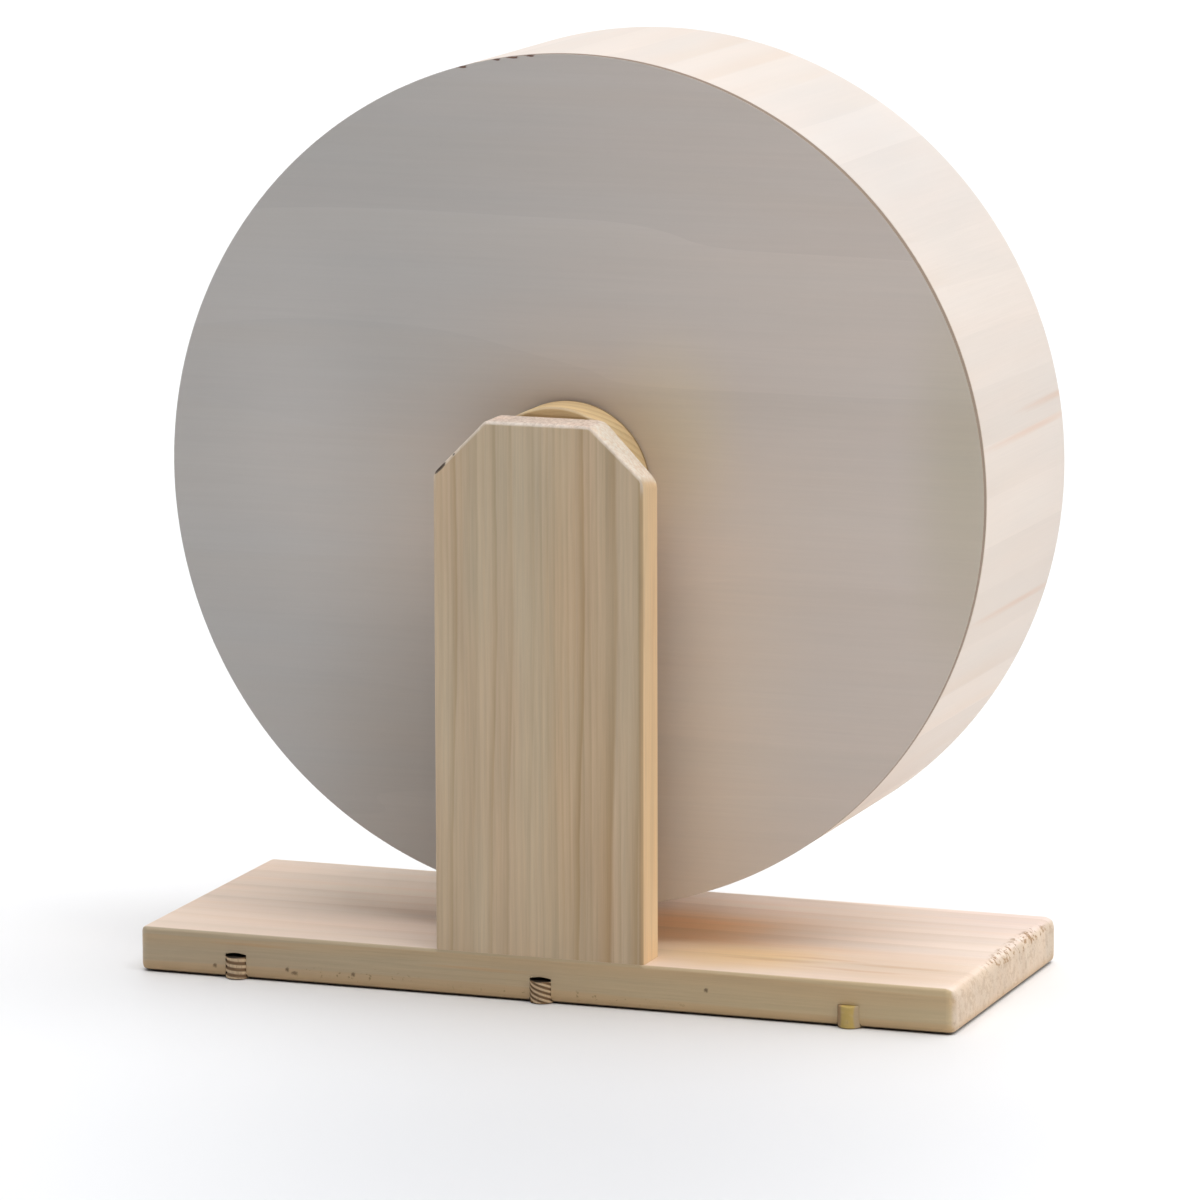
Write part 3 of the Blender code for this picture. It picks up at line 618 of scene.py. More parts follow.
def coordinates(tree):
    """The place and the surface direction, both in the piece's own frame."""
    outputs = add(tree, "ShaderNodeTexCoord").outputs
    return outputs["Object"], outputs["Normal"]


def along_grain(tree, place, turn):
    """The same place, turned so that the grain runs along Z."""
    node = add(tree, "ShaderNodeMapping", {"Vector": place, "Rotation": turn}, vector_type="POINT")
    return node.outputs["Vector"]


def along_cut(tree, place, centre):
    """A place measured from a centre in millimetres, X running up the post's left cut."""
    offset = vector_maths(tree, "SUBTRACT", place, Vector(centre) * MM)
    return along_grain(tree, offset, (0, math.pi / 4, 0))


def raise_surface(tree, shader, height, depth):
    """Give the shader a bump of this depth in metres."""
    bump = add(tree, "ShaderNodeBump", {"Height": height, "Distance": depth, "Strength": 1.0})
    tree.links.new(bump.outputs["Normal"], shader.inputs["Normal"])


def finish_wood(tree, shader, outputs, depth, colour=None):
    """Link a wood group's outputs to the shader."""
    plug(tree, colour or outputs["Color"], shader.inputs["Base Color"])
    plug(tree, outputs["Roughness"], shader.inputs["Roughness"])
    raise_surface(tree, shader, outputs["Height"], depth)


# %% [markdown]
# ## Pine of the post
# The post is sawn so that its rings stand almost square to the broad face, and show there as
# upright lines: a few thin dark ones, and one broad brown one on the right. Rings at even
# distances can't give that rhythm. A colour ramp across the width puts each line where it
# belongs, and the growth rings add the faint ones between. A soft darker tone runs up the middle.

# %% Material: post pine
GRAIN_LINES = [
    (-33.5, 2.5, 0.25),
    (-28.7, 2.2, 0.75),
    (-21.5, 3.0, 0.30),
    (-15.0, 2.2, 0.70),
    (-9.4, 2.4, 0.55),
    (-2.0, 3.5, 0.35),
    (7.5, 4.0, 0.20),
    (15.0, 2.6, 0.95),
    (25.8, 6.0, 0.90),
    (35.0, 4.0, 0.85),
]
MIDDLE_TONE = ((11, -60.3, 100), (16, 8, 150), 0.2, 0.6, (0.625, 0.475, 0.308))
SPLIT_PLACE = (-33.4, -60.3, 173.9)
SPLIT_SHADE_MARKS = [((0, 0, 0), (3.2, 2.2, 0.8)), ((6.6, 0, 0.1), (0.7, 1.0, 0.5))]
POST_WIDTH = (POST_HIGH.x - POST_LOW.x) / MM
post_pine, tree, shader = new_material("post_pine", (0.66, 0.52, 0.36))
place, facing = coordinates(tree)
x, y, z = split(tree, place)
sway = waver(tree, joined(tree, 0.3, y, z), 9, 1.0)
shiver = waver(tree, joined(tree, x, y, z), 60)
line_place = maths(tree, "MULTIPLY_ADD", sway, 7 * MM, x)
line_place = maths(tree, "MULTIPLY_ADD", shiver, 0.7 * MM, line_place)
line_place = maths(tree, "MULTIPLY_ADD", maths(tree, "SUBTRACT", y, POST_LOW.y), 0.3, line_place)
line_share = ranged(tree, line_place, POST_LOW.x, POST_HIGH.x, 0.0, 1.0, "LINEAR")
ramp = add(tree, "ShaderNodeValToRGB", {"Fac": line_share})
stops = []
for middle, width, strength in GRAIN_LINES:
    for step, level in ((-width, 0.0), (0.0, strength), (0.18 * width, 0.0)):
        stops.append(((middle + step) / POST_WIDTH + 0.5, level))
while len(ramp.color_ramp.elements) < len(stops):
    ramp.color_ramp.elements.new(1.0)
for element, (position, level) in zip(ramp.color_ramp.elements, sorted(stops)):
    element.position = min(max(position, 0.0), 1.0)
    element.color = (level, level, level, 1.0)
rings = rings_round(tree, place, (-0.40, 0.10, 0), 2.3, 5)
patchy = noise_at(tree, vector_maths(tree, "MULTIPLY", place, (1, 1, 0.2)), 45)
fade = ranged(tree, patchy, 0.3, 0.7)
faint = times(tree, times(tree, rings["Late Wood"], 0.30), fade)
strong = times(tree, ramp.outputs["Color"], ranged(tree, fade, 0, 1, 0.65, 1.0))
by_edge = ranged(tree, x, POST_HIGH.x - 2.4 * MM, POST_HIGH.x - 1.0 * MM, 0.0, 0.9)
on_rear = ranged(tree, y, POST_LOW.y + 1.0 * MM, POST_LOW.y + 0.5 * MM)
by_edge = times(tree, by_edge, on_rear)
late = maths(tree, "MAXIMUM", by_edge, maths(tree, "MAXIMUM", faint, strong))
faces_x, _, faces_z = split(tree, facing)
# The side that faces the light is painted a brighter gold than the rear face, as painted light.
painted_lit_side = ranged(tree, faces_x, 0.3, 0.8)
to_top = ranged(tree, faces_z, 0.3, 0.7)
early = mixed(tree, painted_lit_side, (0.680, 0.527, 0.355), (0.870, 0.635, 0.378))
early = toned(tree, place, early, [MIDDLE_TONE])
# The top and the sawn cuts are painted paler, as painted light from above; the stipple is the sawn
# surface.
to_cut = ranged(tree, times(tree, faces_x, faces_z), 0.25, 0.45)
stipple = ranged(tree, noise_at(tree, place, 700, 3.0, 0.7), 0.38, 0.62)
painted_lit_top = mixed(tree, stipple, (0.700, 0.540, 0.430), (0.930, 0.770, 0.650))
painted_lit_cut = mixed(tree, stipple, (0.860, 0.640, 0.440), (1.000, 0.900, 0.760))
early = mixed(tree, to_top, early, mixed(tree, to_cut, painted_lit_top, painted_lit_cut))
# Only edges near the top and the far side turn paler, as wear and a painted highlight.
wear_and_highlight = wear_and_highlight_at(tree, facing, place)
at_top = ranged(tree, z, POST_HIGH.z - 24 * MM, POST_HIGH.z - 16 * MM)
at_far_side = ranged(tree, y, POST_HIGH.y - 4 * MM, POST_HIGH.y - 2 * MM)
wear_and_highlight = times(tree, wear_and_highlight, maths(tree, "MAXIMUM", at_top, at_far_side))
wood = place_group(tree, raw_wood, {
    "Place": place,
    "Early Colour": early,
    "Late Colour": (0.480, 0.325, 0.170),
    "Late Wood": times(tree, late, ranged(tree, to_top, 0, 1, 1.0, 0.15)),
    "Ring Tone": rings["Ring Tone"],
    "Fibre Width": 0.45 * MM,
    "Fibre Strength": 0.13,
    "Blotches": 0.30,
    "Wear And Highlight": wear_and_highlight,
})
# The split in the left cut is painted almost black inside, as painted shade.
painted_split_shade = marks(tree, along_cut(tree, place, SPLIT_PLACE), SPLIT_SHADE_MARKS, 0.4, 0.3)
colour = mixed(tree, times(tree, painted_split_shade, 0.85), wood["Color"], (0.05, 0.03, 0.02))
finish_wood(tree, shader, wood, 0.06 * MM, colour)
print("post_pine:", len(tree.nodes), "nodes,", len(GRAIN_LINES), "named grain lines")

# %% [markdown]
# ## Pine of the base board
# The same timber lies flat here, with its grain along the board. The pith lies below and behind the
# board, so the top shows broad soft lines, the long edge shows a few, and the short ends show arcs.
# Wood is never one even colour, and the drum throws warm light and shade on the board. Soft tones of
# the top are laid on one after the other for both: the two amber ones by the post's foot and under the
# drum are the drum's warm painted shade, two pale ones beside and behind the drum are painted light
# that lifts its shadow, and the last two are tones of the wood. The top is painted paler than the rear
# face, which is painted shade, and both grow lighter towards the right as painted light.

# %% Material: base pine
# The first two tones are warm painted shade under the drum, the next two painted light, the last two
# tones of the wood.
BASE_TONES_AND_PAINTED_LIGHT = [
    ((62, -36, 15), (64, 30, 14), 0.4, 0.95, (0.910, 0.645, 0.370)),
    ((28, 2, 15), (52, 46, 14), 0.4, 0.9, (0.950, 0.610, 0.345)),
    ((-80, 18, 15), (68, 54, 14), 0.2, 0.9, (1.000, 0.880, 0.755)),
    ((46, 38, 15), (52, 34, 14), 0.2, 0.9, (1.000, 0.880, 0.800)),
    ((116, -42, 15), (48, 36, 14), 0.2, 0.8, (0.770, 0.612, 0.485)),
    ((132, 44, 15), (48, 42, 14), 0.2, 0.95, (0.830, 0.685, 0.610)),
]
base_pine, tree, shader = new_material("base_pine", (0.72, 0.60, 0.44))
place, facing = coordinates(tree)
grain_place = along_grain(tree, place, GRAIN_ALONG_X)
rings = rings_round(tree, grain_place, (0.045, -0.09, 0), 8, 16)
faces_x, faces_y, _ = split(tree, facing)
to_rear = ranged(tree, faces_y, -0.15, -0.55)
to_end = ranged(tree, maths(tree, "ABSOLUTE", faces_x), 0.5, 0.9)
along_x, along_y, up_z = split(tree, place)
# The top and the rear face are painted lighter towards the right, as painted light from that side.
painted_light_to_right = ranged(tree, along_x, -100 * MM, 110 * MM, kind="LINEAR")
early = mixed(tree, painted_light_to_right, (0.860, 0.695, 0.570), (0.905, 0.770, 0.675))
early = toned(tree, place, early, BASE_TONES_AND_PAINTED_LIGHT)
# The rear face is painted darker than the top, as painted shade.
rear = mixed(tree, painted_light_to_right, (0.532, 0.424, 0.282), (0.645, 0.500, 0.300))
early = mixed(tree, to_rear, early, rear)
early = mixed(tree, to_end, early, (0.725, 0.590, 0.460))
line_share = maths(tree, "MULTIPLY_ADD", to_rear, 0.30, 0.12)
inwards = ranged(tree, along_y, BASE_LOW.y, BASE_LOW.y + 3 * MM, 0.1, 1.0)
wear_and_highlight = times(tree, wear_and_highlight_at(tree, facing, place), inwards)
wood = place_group(tree, raw_wood, {
    "Place": grain_place,
    "Early Colour": early,
    "Late Colour": (0.600, 0.405, 0.215),
    "Late Wood": times(tree, rings["Late Wood"], line_share),
    "Ring Tone": rings["Ring Tone"],
    "Fibre Width": 0.5 * MM,
    "Fibre Strength": ranged(tree, to_rear, 0, 1, 0.06, 0.12),
    "Blotches": 0.2,
    "End Grain": times(tree, to_end, 0.3),
    "Wear And Highlight": times(tree, wear_and_highlight, ranged(tree, along_x, 136 * MM, 138 * MM, 0.4, 0.0)),
})
print("base_pine has", len(BASE_TONES_AND_PAINTED_LIGHT), "soft tones")

# %% [markdown]
# Real boards have small faults. On the rear edge there are pits and a rough stretch where a tool
# scarred it. Brown streaks that sway a little cross the top, and the right end is torn. Each is a mark
# of the kind above, in a darker colour. Near the floor the board is painted darker, as painted shade,
# and a dark line where it touches the ground is a painted contact shadow. The drilled holes are painted
# dark inside, as painted shade.

# %% Base pine: streaks, pits, scars, and painted shade near the floor and in the holes
BASE_PITS = [
    ((-88.2, -60.3, 4.2), (0.9, 0.8, 1.0)),
    ((-85.6, -60.3, 3.2), (1.6, 0.8, 0.9)),
    ((-64.9, -60.3, 4.3), (1.0, 0.8, 1.0)),
    ((-113.9, -60.3, 3.7), (1.0, 0.8, 1.0)),
    ((57.3, -60.3, 8.4), (1.0, 0.8, 1.0)),
]
SCARRED = [((-66, -60.3, 4.2), (34, 4, 3.4)), ((10, -60.3, 3.0), (60, 4, 2.4))]
TORN_END = ((140, 12, 13.6), (5.0, 46, 3.4))
BROWN_STREAKS = [
    ((74, -36, 15), (24, 2.4, 3)),
    ((88, -30, 15), (22, 1.6, 3)),
    ((104, -41, 15), (26, 1.8, 3)),
    ((116, -32, 15), (28, 2.2, 3)),
    ((-20, -60.3, 9.5), (26, 3, 0.9)),
    ((-100, -60.3, 11.5), (20, 3, 0.8)),
]
EDGE_SIDES = ("left", "middle", "right")
pits = marks(tree, place, BASE_PITS, 1.1, 0.7)
sway = ranged(tree, noise_at(tree, place, 11, 1.0), 0.3, 0.7, -4 * MM, 4 * MM, "LINEAR")
sway = times(tree, sway, ranged(tree, to_rear, 0, 1, 1.0, 0.0))
swaying = joined(tree, along_x, maths(tree, "ADD", along_y, sway), up_z)
streaks = marks(tree, swaying, BROWN_STREAKS, 1.1, 0.8)
colour = mixed(tree, times(tree, streaks, 0.4), wood["Color"], (0.62, 0.37, 0.18))
colour = mixed(tree, times(tree, pits, 0.85), colour, (0.16, 0.10, 0.05))
scar = ranged(tree, noise_at(tree, place, 480, 3.0, 0.7), 0.59, 0.68)
scar = times(tree, scar, marks(tree, place, SCARRED, 0.4, 0.8))
colour = mixed(tree, times(tree, scar, 0.8), colour, (0.26, 0.16, 0.07))
torn_end = marks(tree, place, [TORN_END], 0.5, 0.5)
right_end = times(tree, to_end, ranged(tree, along_x, 0, 1 * MM, 0.0, 0.3))
torn_end = maths(tree, "MAXIMUM", torn_end, right_end)
speckle = ranged(tree, noise_at(tree, place, 330, 4.0, 0.75), 0.50, 0.57)
speckle = times(tree, times(tree, speckle, torn_end), 0.9)
colour = mixed(tree, speckle, colour, (0.36, 0.20, 0.08))
# The lowest few millimetres are painted darker and warmer, as painted shade near the floor.
painted_low_shade = ranged(tree, up_z, 4.5 * MM, 0.5 * MM, 0.0, 0.5)
colour = mixed(tree, painted_low_shade, colour, (0.54, 0.33, 0.14))
# A near-black line along the bottom is a painted contact shadow.
painted_contact_shadow = ranged(tree, up_z, 1.0 * MM, 0.4 * MM, 0.0, 0.9)
colour = mixed(tree, painted_contact_shadow, colour, (0.05, 0.035, 0.025))
# The drilled holes are painted almost black inside, as painted shade.
DOWEL_HOLES = [(box_middle(f"edge_dowel_{side}") / MM, (4.6, 4.6, 9.0)) for side in EDGE_SIDES]
painted_hole_shade = marks(tree, place, DOWEL_HOLES, 0.0, 0.1)
below_face = ranged(tree, along_y, BASE_LOW.y + 0.2 * MM, BASE_LOW.y + 0.4 * MM)
colour = mixed(tree, times(tree, painted_hole_shade, below_face), colour, (0.03, 0.02, 0.01))
finish_wood(tree, shader, wood, 0.07 * MM, colour)
print("base_pine:", len(tree.nodes), "nodes,", len(BASE_PITS), "pits")

# %% [markdown]
# ## Layers of plywood
# Thin plywood shows its layers wherever it is cut: pale ones with the grain along the cut, darker
# ones with the grain end on, and thin glue lines between them. The group takes how deep a point
# is below the face, so it works for the flat disc and for the bent band alike.

# %% Group: plywood layers
inputs = {"Depth": 0.0, "Layer": 1 * MM, "Place": (0, 0, 0)}
outputs = {"Dark Layer": "Float", "Glue Line": "Float"}
ply_layers, take, give = new_group("ply_layers", inputs, outputs)
tree = ply_layers
uneven = waver(tree, take["Place"], 150)
layer = maths(tree, "DIVIDE", take["Depth"], take["Layer"])
layer = maths(tree, "MULTIPLY_ADD", uneven, 0.12, layer)
pair = maths(tree, "FRACT", times(tree, layer, 0.5))
plug(tree, maths(tree, "GREATER_THAN", pair, 0.5), give["Dark Layer"])
from_middle = maths(tree, "SUBTRACT", maths(tree, "FRACT", layer), 0.5)
near = maths(tree, "ABSOLUTE", from_middle)
plug(tree, ranged(tree, near, 0.42, 0.49), give["Glue Line"])
print("ply_layers:", len(tree.nodes), "nodes")

# %% [markdown]
# ## Veneer of the disc
# The closed back is a thin plywood disc. Its face veneer is cut so that hardly any grain shows: a grey
# beige with faint level streaks, painted a little warmer and lighter towards the right and the base as
# painted light. Six soft tones are laid over it: warm ones below the hub, round it and beside it are
# painted light that the golden post and hub throw on it, a darker one low at the left is painted shade,
# and others at the upper left and along the right of the rim are tones of the veneer. At the top of its
# rim a few fibres have torn out.

# %% Material: disc plywood
# The first, second and fourth tones are warm painted light from the post and hub, the third painted
# shade, the last two tones of the veneer.
DISC_TONES_AND_PAINTED_LIGHT = [
    ((30, -28.4, 78), (66, 20, 122), 0.1, 0.98, (0.950, 0.750, 0.540)),
    ((2, -28.4, 152), (118, 20, 84), 0.1, 0.98, (0.950, 0.740, 0.560)),
    ((-58, -28.4, 68), (46, 20, 92), 0.1, 0.98, (0.450, 0.375, 0.305)),
    ((34, -28.4, 184), (32, 20, 42), 0.1, 0.98, (0.880, 0.720, 0.450)),
    ((134, -28.4, 176), (26, 20, 96), 0.1, 0.98, (0.560, 0.500, 0.330)),
    ((-96, -28.4, 172), (42, 20, 84), 0.1, 0.98, (0.690, 0.645, 0.610)),
]
disc_plywood, tree, shader = new_material("disc_plywood", (0.66, 0.62, 0.56))
place, facing = coordinates(tree)
along_x, along_y, _ = split(tree, place)
grain_place = along_grain(tree, place, GRAIN_ALONG_X)
rings = rings_round(tree, grain_place, (0.1, 0.6, 0), 14, 40)
depth = maths(tree, "SUBTRACT", along_y, DISC_LOW.y)
ply = place_group(tree, ply_layers, {"Depth": depth, "Layer": 1 * MM, "Place": place})
outwards = split(tree, place_group(tree, turned_facing, {"Normal": facing})["Facing"])[0]
on_rim = ranged(tree, outwards, 0.6, 0.9)
# The veneer is painted warmer and lighter towards the right, as painted light from that side.
painted_light_from_right = ranged(tree, along_x, -90 * MM, 110 * MM)
on_rear = ranged(tree, along_y, DISC_LOW.y + 1.2 * MM, DISC_LOW.y + 0.8 * MM, 0.0, 0.45)
early = mixed(tree, painted_light_from_right, (0.560, 0.533, 0.508), (0.715, 0.628, 0.565))
early = toned(tree, place, early, DISC_TONES_AND_PAINTED_LIGHT, on_rear)
wood = place_group(tree, raw_wood, {
    "Place": grain_place,
    "Early Colour": early,
    "Late Colour": (0.62, 0.54, 0.45),
    "Late Wood": times(tree, rings["Late Wood"], 0.07),
    "Ring Tone": rings["Ring Tone"],
    "Fibre Width": 0.6 * MM,
    "Fibre Strength": 0.035,
    "Blotches": 0.07,
})
dark = maths(tree, "MULTIPLY_ADD", ply["Dark Layer"], 0.35, times(tree, ply["Glue Line"], 0.3))
rim_colour = mixed(tree, dark, (0.29, 0.21, 0.15), (0.14, 0.09, 0.06))
colour = mixed(tree, on_rim, wood["Color"], rim_colour)


def on_rim_at(degrees, inset, y):
    """A point near the drum's rim, in millimetres."""
    turn = math.radians(degrees)
    reach = DRUM_RADIUS / MM - inset
    return reach * math.cos(turn), y, AXLE_HEIGHT / MM + reach * math.sin(turn)


RIM_TEARS = [(105.5, 2.4), (100.4, 1.6), (98.2, 2.8), (95.6, 1.8)]
torn = [(on_rim_at(turn, 0.2, DISC_LOW.y / MM), (reach, 1.0, 0.5)) for turn, reach in RIM_TEARS]
colour = mixed(tree, marks(tree, place, torn, 0.9, 0.4), colour, (0.17, 0.08, 0.05))
finish_wood(tree, shader, wood, 0.02 * MM, colour)
print("disc_plywood:", len(tree.nodes), "nodes")

# %% [markdown]
# ## Veneer of the band
# The drum's outside is a bent strip whose grain runs across it, from disc to mouth, because a strip
# bends best round its own grain. The figure has to follow the bend, so the material first unrolls the
# drum: the angle round the axle becomes a length along the strip. The join between the strip's two ends
# is also where the unrolled length starts again. Three thin brown lines are marks on the unrolled
# strip, and a greyer area on it is painted shade where the band turns from its top to its right side.

# %% Group: the drum unrolled
LAP_ANGLE = math.radians(214)
unrolled_rim, take, give = new_group("unrolled_rim", {
    "Place": (0, 0, 0),
    "Axle Height": AXLE_HEIGHT,
    "Radius": DRUM_RADIUS,
    "Seam Turn": LAP_ANGLE,
}, {"Place": "Vector", "Depth": "Float"})
tree = unrolled_rim
x, y, z = split(tree, take["Place"])
up = maths(tree, "SUBTRACT", z, take["Axle Height"])
turn_back = maths(tree, "SUBTRACT", math.pi, take["Seam Turn"])
flat_place = {"Vector": joined(tree, x, up, 0), "Angle": turn_back}
turned_place = add(tree, "ShaderNodeVectorRotate", flat_place, rotation_type="Z_AXIS")
turned_x, turned_up, _ = split(tree, turned_place.outputs["Vector"])
angle = maths(tree, "ARCTAN2", turned_up, turned_x)
arc = times(tree, angle, take["Radius"])
reach = length_of(tree, joined(tree, x, up, 0))
depth = maths(tree, "SUBTRACT", take["Radius"], reach)
plug(tree, joined(tree, arc, depth, y), give["Place"])
plug(tree, depth, give["Depth"])
print("unrolled_rim:", len(tree.nodes), "nodes")

# %% Material: band veneer
BAND_STREAKS = [
    ((-59, 0, 54), (1.9, 3, 52)),
    ((-66, 0, 28), (1.8, 3, 74)),
    ((-124, 0, 30), (2.0, 3, 70)),
]
# The greyer area is painted shade where the band turns from its top to its right side.
PAINTED_BAND_SHADE = ((42, 0, 20), (62, 8, 110), 0.3, 0.95, (0.670, 0.630, 0.600))
band_veneer, tree, shader = new_material("band_veneer", (0.82, 0.73, 0.64))
place, facing = coordinates(tree)
rim = place_group(tree, unrolled_rim, {"Place": place})
parts = split(tree, rim["Place"])
slant = maths(tree, "MULTIPLY_ADD", parts[2], 0.015, parts[0])
strip_place = joined(tree, slant, parts[1], parts[2])
rings = rings_round(tree, strip_place, (0.9, 0.1, 0), 17, 16)
patchy = noise_at(tree, vector_maths(tree, "MULTIPLY", strip_place, (1, 1, 0.35)), 16)
patchy = ranged(tree, patchy, 0.46, 0.70)
late = times(tree, times(tree, rings["Late Wood"], patchy), 0.20)
streaks = marks(tree, rim["Place"], BAND_STREAKS, 0.7, 0.95)
early = toned(tree, rim["Place"], (0.768, 0.682, 0.612), [PAINTED_BAND_SHADE], 0.6)
early = mixed(tree, times(tree, streaks, 0.7), early, (0.740, 0.550, 0.440))
wood = place_group(tree, raw_wood, {
    "Place": strip_place,
    "Early Colour": early,
    "Late Colour": (0.690, 0.520, 0.370),
    "Late Wood": late,
    "Ring Tone": rings["Ring Tone"],
    "Fibre Width": 0.7 * MM,
    "Fibre Strength": 0.03,
    "Blotches": 0.09,
})
ply = place_group(tree, ply_layers, {"Depth": rim["Depth"], "Layer": 4 / 3 * MM, "Place": place})
at_mouth = ranged(tree, maths(tree, "ABSOLUTE", split(tree, facing)[1]), 0.6, 0.9)
dark = maths(tree, "MULTIPLY_ADD", ply["Glue Line"], 0.25, times(tree, ply["Dark Layer"], 0.3))
cut_wood = mixed(tree, dark, (0.74, 0.60, 0.43), (0.42, 0.28, 0.16))
in_kerf = ranged(tree, rim["Depth"], 3.75 * MM, 3.4 * MM)
in_kerf = times(tree, in_kerf, ranged(tree, rim["Depth"], 0.5 * MM, 1.0 * MM))
colour = mixed(tree, maths(tree, "MAXIMUM", at_mouth, in_kerf), wood["Color"], cut_wood)
finish_wood(tree, shader, wood, 0.03 * MM, colour)
print("band_veneer:", len(tree.nodes), "nodes")

# %% [markdown]
# ## Golden wood of the hub
# The hub block and the plate inside the drum are turned from a denser, yellower wood. A lathe leaves
# fine grooves round the piece, which a wave of its radius draws. The block is darker brown along a thin
# line where it meets the disc.

# %% Group: tool marks of a lathe
tool_marks, take, give = new_group("tool_marks", {
    "Place": (0, 0, 0),
    "Axle Height": AXLE_HEIGHT,
    "Spacing": 0.5 * MM,
}, {"Groove": "Float"})
tree = tool_marks
x, y, z = split(tree, take["Place"])
up = maths(tree, "SUBTRACT", z, take["Axle Height"])
reach = length_of(tree, joined(tree, x, up, 0))
travel = maths(tree, "DIVIDE", maths(tree, "ADD", reach, y), take["Spacing"])
wave = maths(tree, "SINE", times(tree, travel, FULL_TURN))
uneven = noise_at(tree, joined(tree, reach, y, 0), 900, 2.0)
groove = times(tree, maths(tree, "ADD", wave, 1), uneven)
plug(tree, groove, give["Groove"])

# %% Material: golden hub wood
golden_wood, tree, shader = new_material("golden_wood", (0.74, 0.54, 0.28), 0.5)
place, facing = coordinates(tree)
grain_place = along_grain(tree, place, GRAIN_ALONG_X)
rings = rings_round(tree, grain_place, (-0.05, -0.12, 0), 2.8, 4)
grooves = place_group(tree, tool_marks, {"Place": place})["Groove"]
turned_parts = place_group(tree, turned_facing, {"Normal": facing})["Facing"]
wear_and_highlight = wear_and_highlight_at(tree, turned_parts, place)
end_grain = ranged(tree, maths(tree, "ABSOLUTE", split(tree, facing)[0]), 0.5, 0.9)
wood = place_group(tree, raw_wood, {
    "Place": grain_place,
    "Early Colour": (0.900, 0.668, 0.358),
    "Late Colour": (0.660, 0.420, 0.190),
    "Late Wood": times(tree, rings["Late Wood"], 0.5),
    "Ring Tone": rings["Ring Tone"],
    "Fibre Width": 0.4 * MM,
    "Fibre Strength": 0.10,
    "Blotches": 0.15,
    "End Grain": end_grain,
    "Wear And Highlight": times(tree, wear_and_highlight, 0.5),
})
# A thin brown line darkens the block next to the disc.
disc_side_place = maths(tree, "SUBTRACT", split(tree, place)[1], DISC_LOW.y - 0.3 * MM)
disc_side_line = ranged(tree, maths(tree, "ABSOLUTE", disc_side_place), 1.9 * MM, 1.0 * MM, 0.0, 0.75)
plug(tree, mixed(tree, disc_side_line, wood["Color"], (0.25, 0.13, 0.05)), shader.inputs["Base Color"])
plug(tree, wood["Roughness"], shader.inputs["Roughness"])
raise_surface(tree, shader, maths(tree, "MULTIPLY_ADD", grooves, 0.6, wood["Height"]), 0.04 * MM)
print("golden_wood:", len(tree.nodes), "nodes")

# %% [markdown]
# ## Beech dowels
# Dowels are bought ready made, of hard even beech with small dark flecks. The grooves of the pressed
# ridges are painted brown and the dowels' tops, deep in their holes, almost black, as painted shade.
# The third dowel in the base's edge is set in yellow glue, which has filled its ridges, so it gets a
# variant of its own, with painted shade at its left side and on its right flank.

# %% Materials: beech, plain and set in glue
# Painted shade for the glued dowel: brown at its left side, and its lit right flank painted darker.
GLUED_DOWEL_SIDE_SHADE = [
    ((102.0, -62, 4), (2.2, 5, 8), 0.3, 0.5, (0.40, 0.26, 0.14)),
    ((110.4, -61, 4), (3.2, 6, 9), 0.2, 0.3, (0.50, 0.39, 0.25)),
]


def beech(name, glue, ridged=None):
    """Beech with flecks. The grooves of a ridged dowel, given by its CAD node, are painted brown and
    its top almost black, as painted shade.
    """
    material, tree, shader = new_material(name, (0.62, 0.46, 0.29))
    place, facing = coordinates(tree)
    long_place = vector_maths(tree, "MULTIPLY", place, (1, 1, 0.18))
    flecks = ranged(tree, noise_at(tree, long_place, 1500, 2.0), 0.56, 0.72)
    end_grain = ranged(tree, maths(tree, "ABSOLUTE", split(tree, facing)[2]), 0.5, 0.9)
    wood = place_group(tree, raw_wood, {
        "Place": place,
        "Early Colour": (0.66, 0.49, 0.31),
        "Late Colour": (0.36, 0.23, 0.12),
        "Late Wood": times(tree, flecks, 0.6),
        "Fibre Width": 0.3 * MM,
        "Fibre Strength": 0.15,
        "Blotches": 0.15,
        "End Grain": end_grain,
    })
    colour = wood["Color"]
    if ridged:
        offset = vector_maths(tree, "SUBTRACT", place, box_middle(ridged))
        reach = length_of(tree, vector_maths(tree, "MULTIPLY", offset, (1, 1, 0)))
        outside = side_radius(ridged)
        # Deeper in a groove the beech is painted browner, as painted shade.
        groove = ranged(tree, reach, outside - 0.02 * MM, outside - 0.16 * MM, 0.0, 0.9)
        colour = mixed(tree, groove, colour, (0.23, 0.13, 0.06))
        # The dowel's top, deep in its hole, is painted almost black, as painted shade.
        painted_top_shade = ranged(tree, split(tree, facing)[2], 0.6, 0.9)
        colour = mixed(tree, painted_top_shade, colour, (0.03, 0.02, 0.01))
    glued = ranged(tree, noise_at(tree, place, 420, 2.0), 0.50, 0.75, glue, 0.6 * glue)
    colour = mixed(tree, glued, colour, (0.58, 0.42, 0.11))
    # The glued dowel gets painted shade at its sides.
    if glue:
        colour = toned(tree, place, colour, GLUED_DOWEL_SIDE_SHADE)
    finish_wood(tree, shader, wood, 0.04 * MM, colour)
    return material


dowel_beech = beech("dowel_beech", 0.0)
left_beech = beech("left_beech", 0.0, "edge_dowel_left")
middle_beech = beech("middle_beech", 0.0, "edge_dowel_middle")
glued_beech = beech("glued_beech", 0.9)
print("the four beeches are ready")

# %% [markdown]
# ## Metal and nylon
# The bearings are ground steel, the bolt, washer and screws are zinc plated, and the insert is
# brass. All three share one group of handling marks: smudges that change the gloss over a few
# millimetres, and fine scratches. Metallic stays a plain value on the shader, and only colour,
# roughness and bump vary.

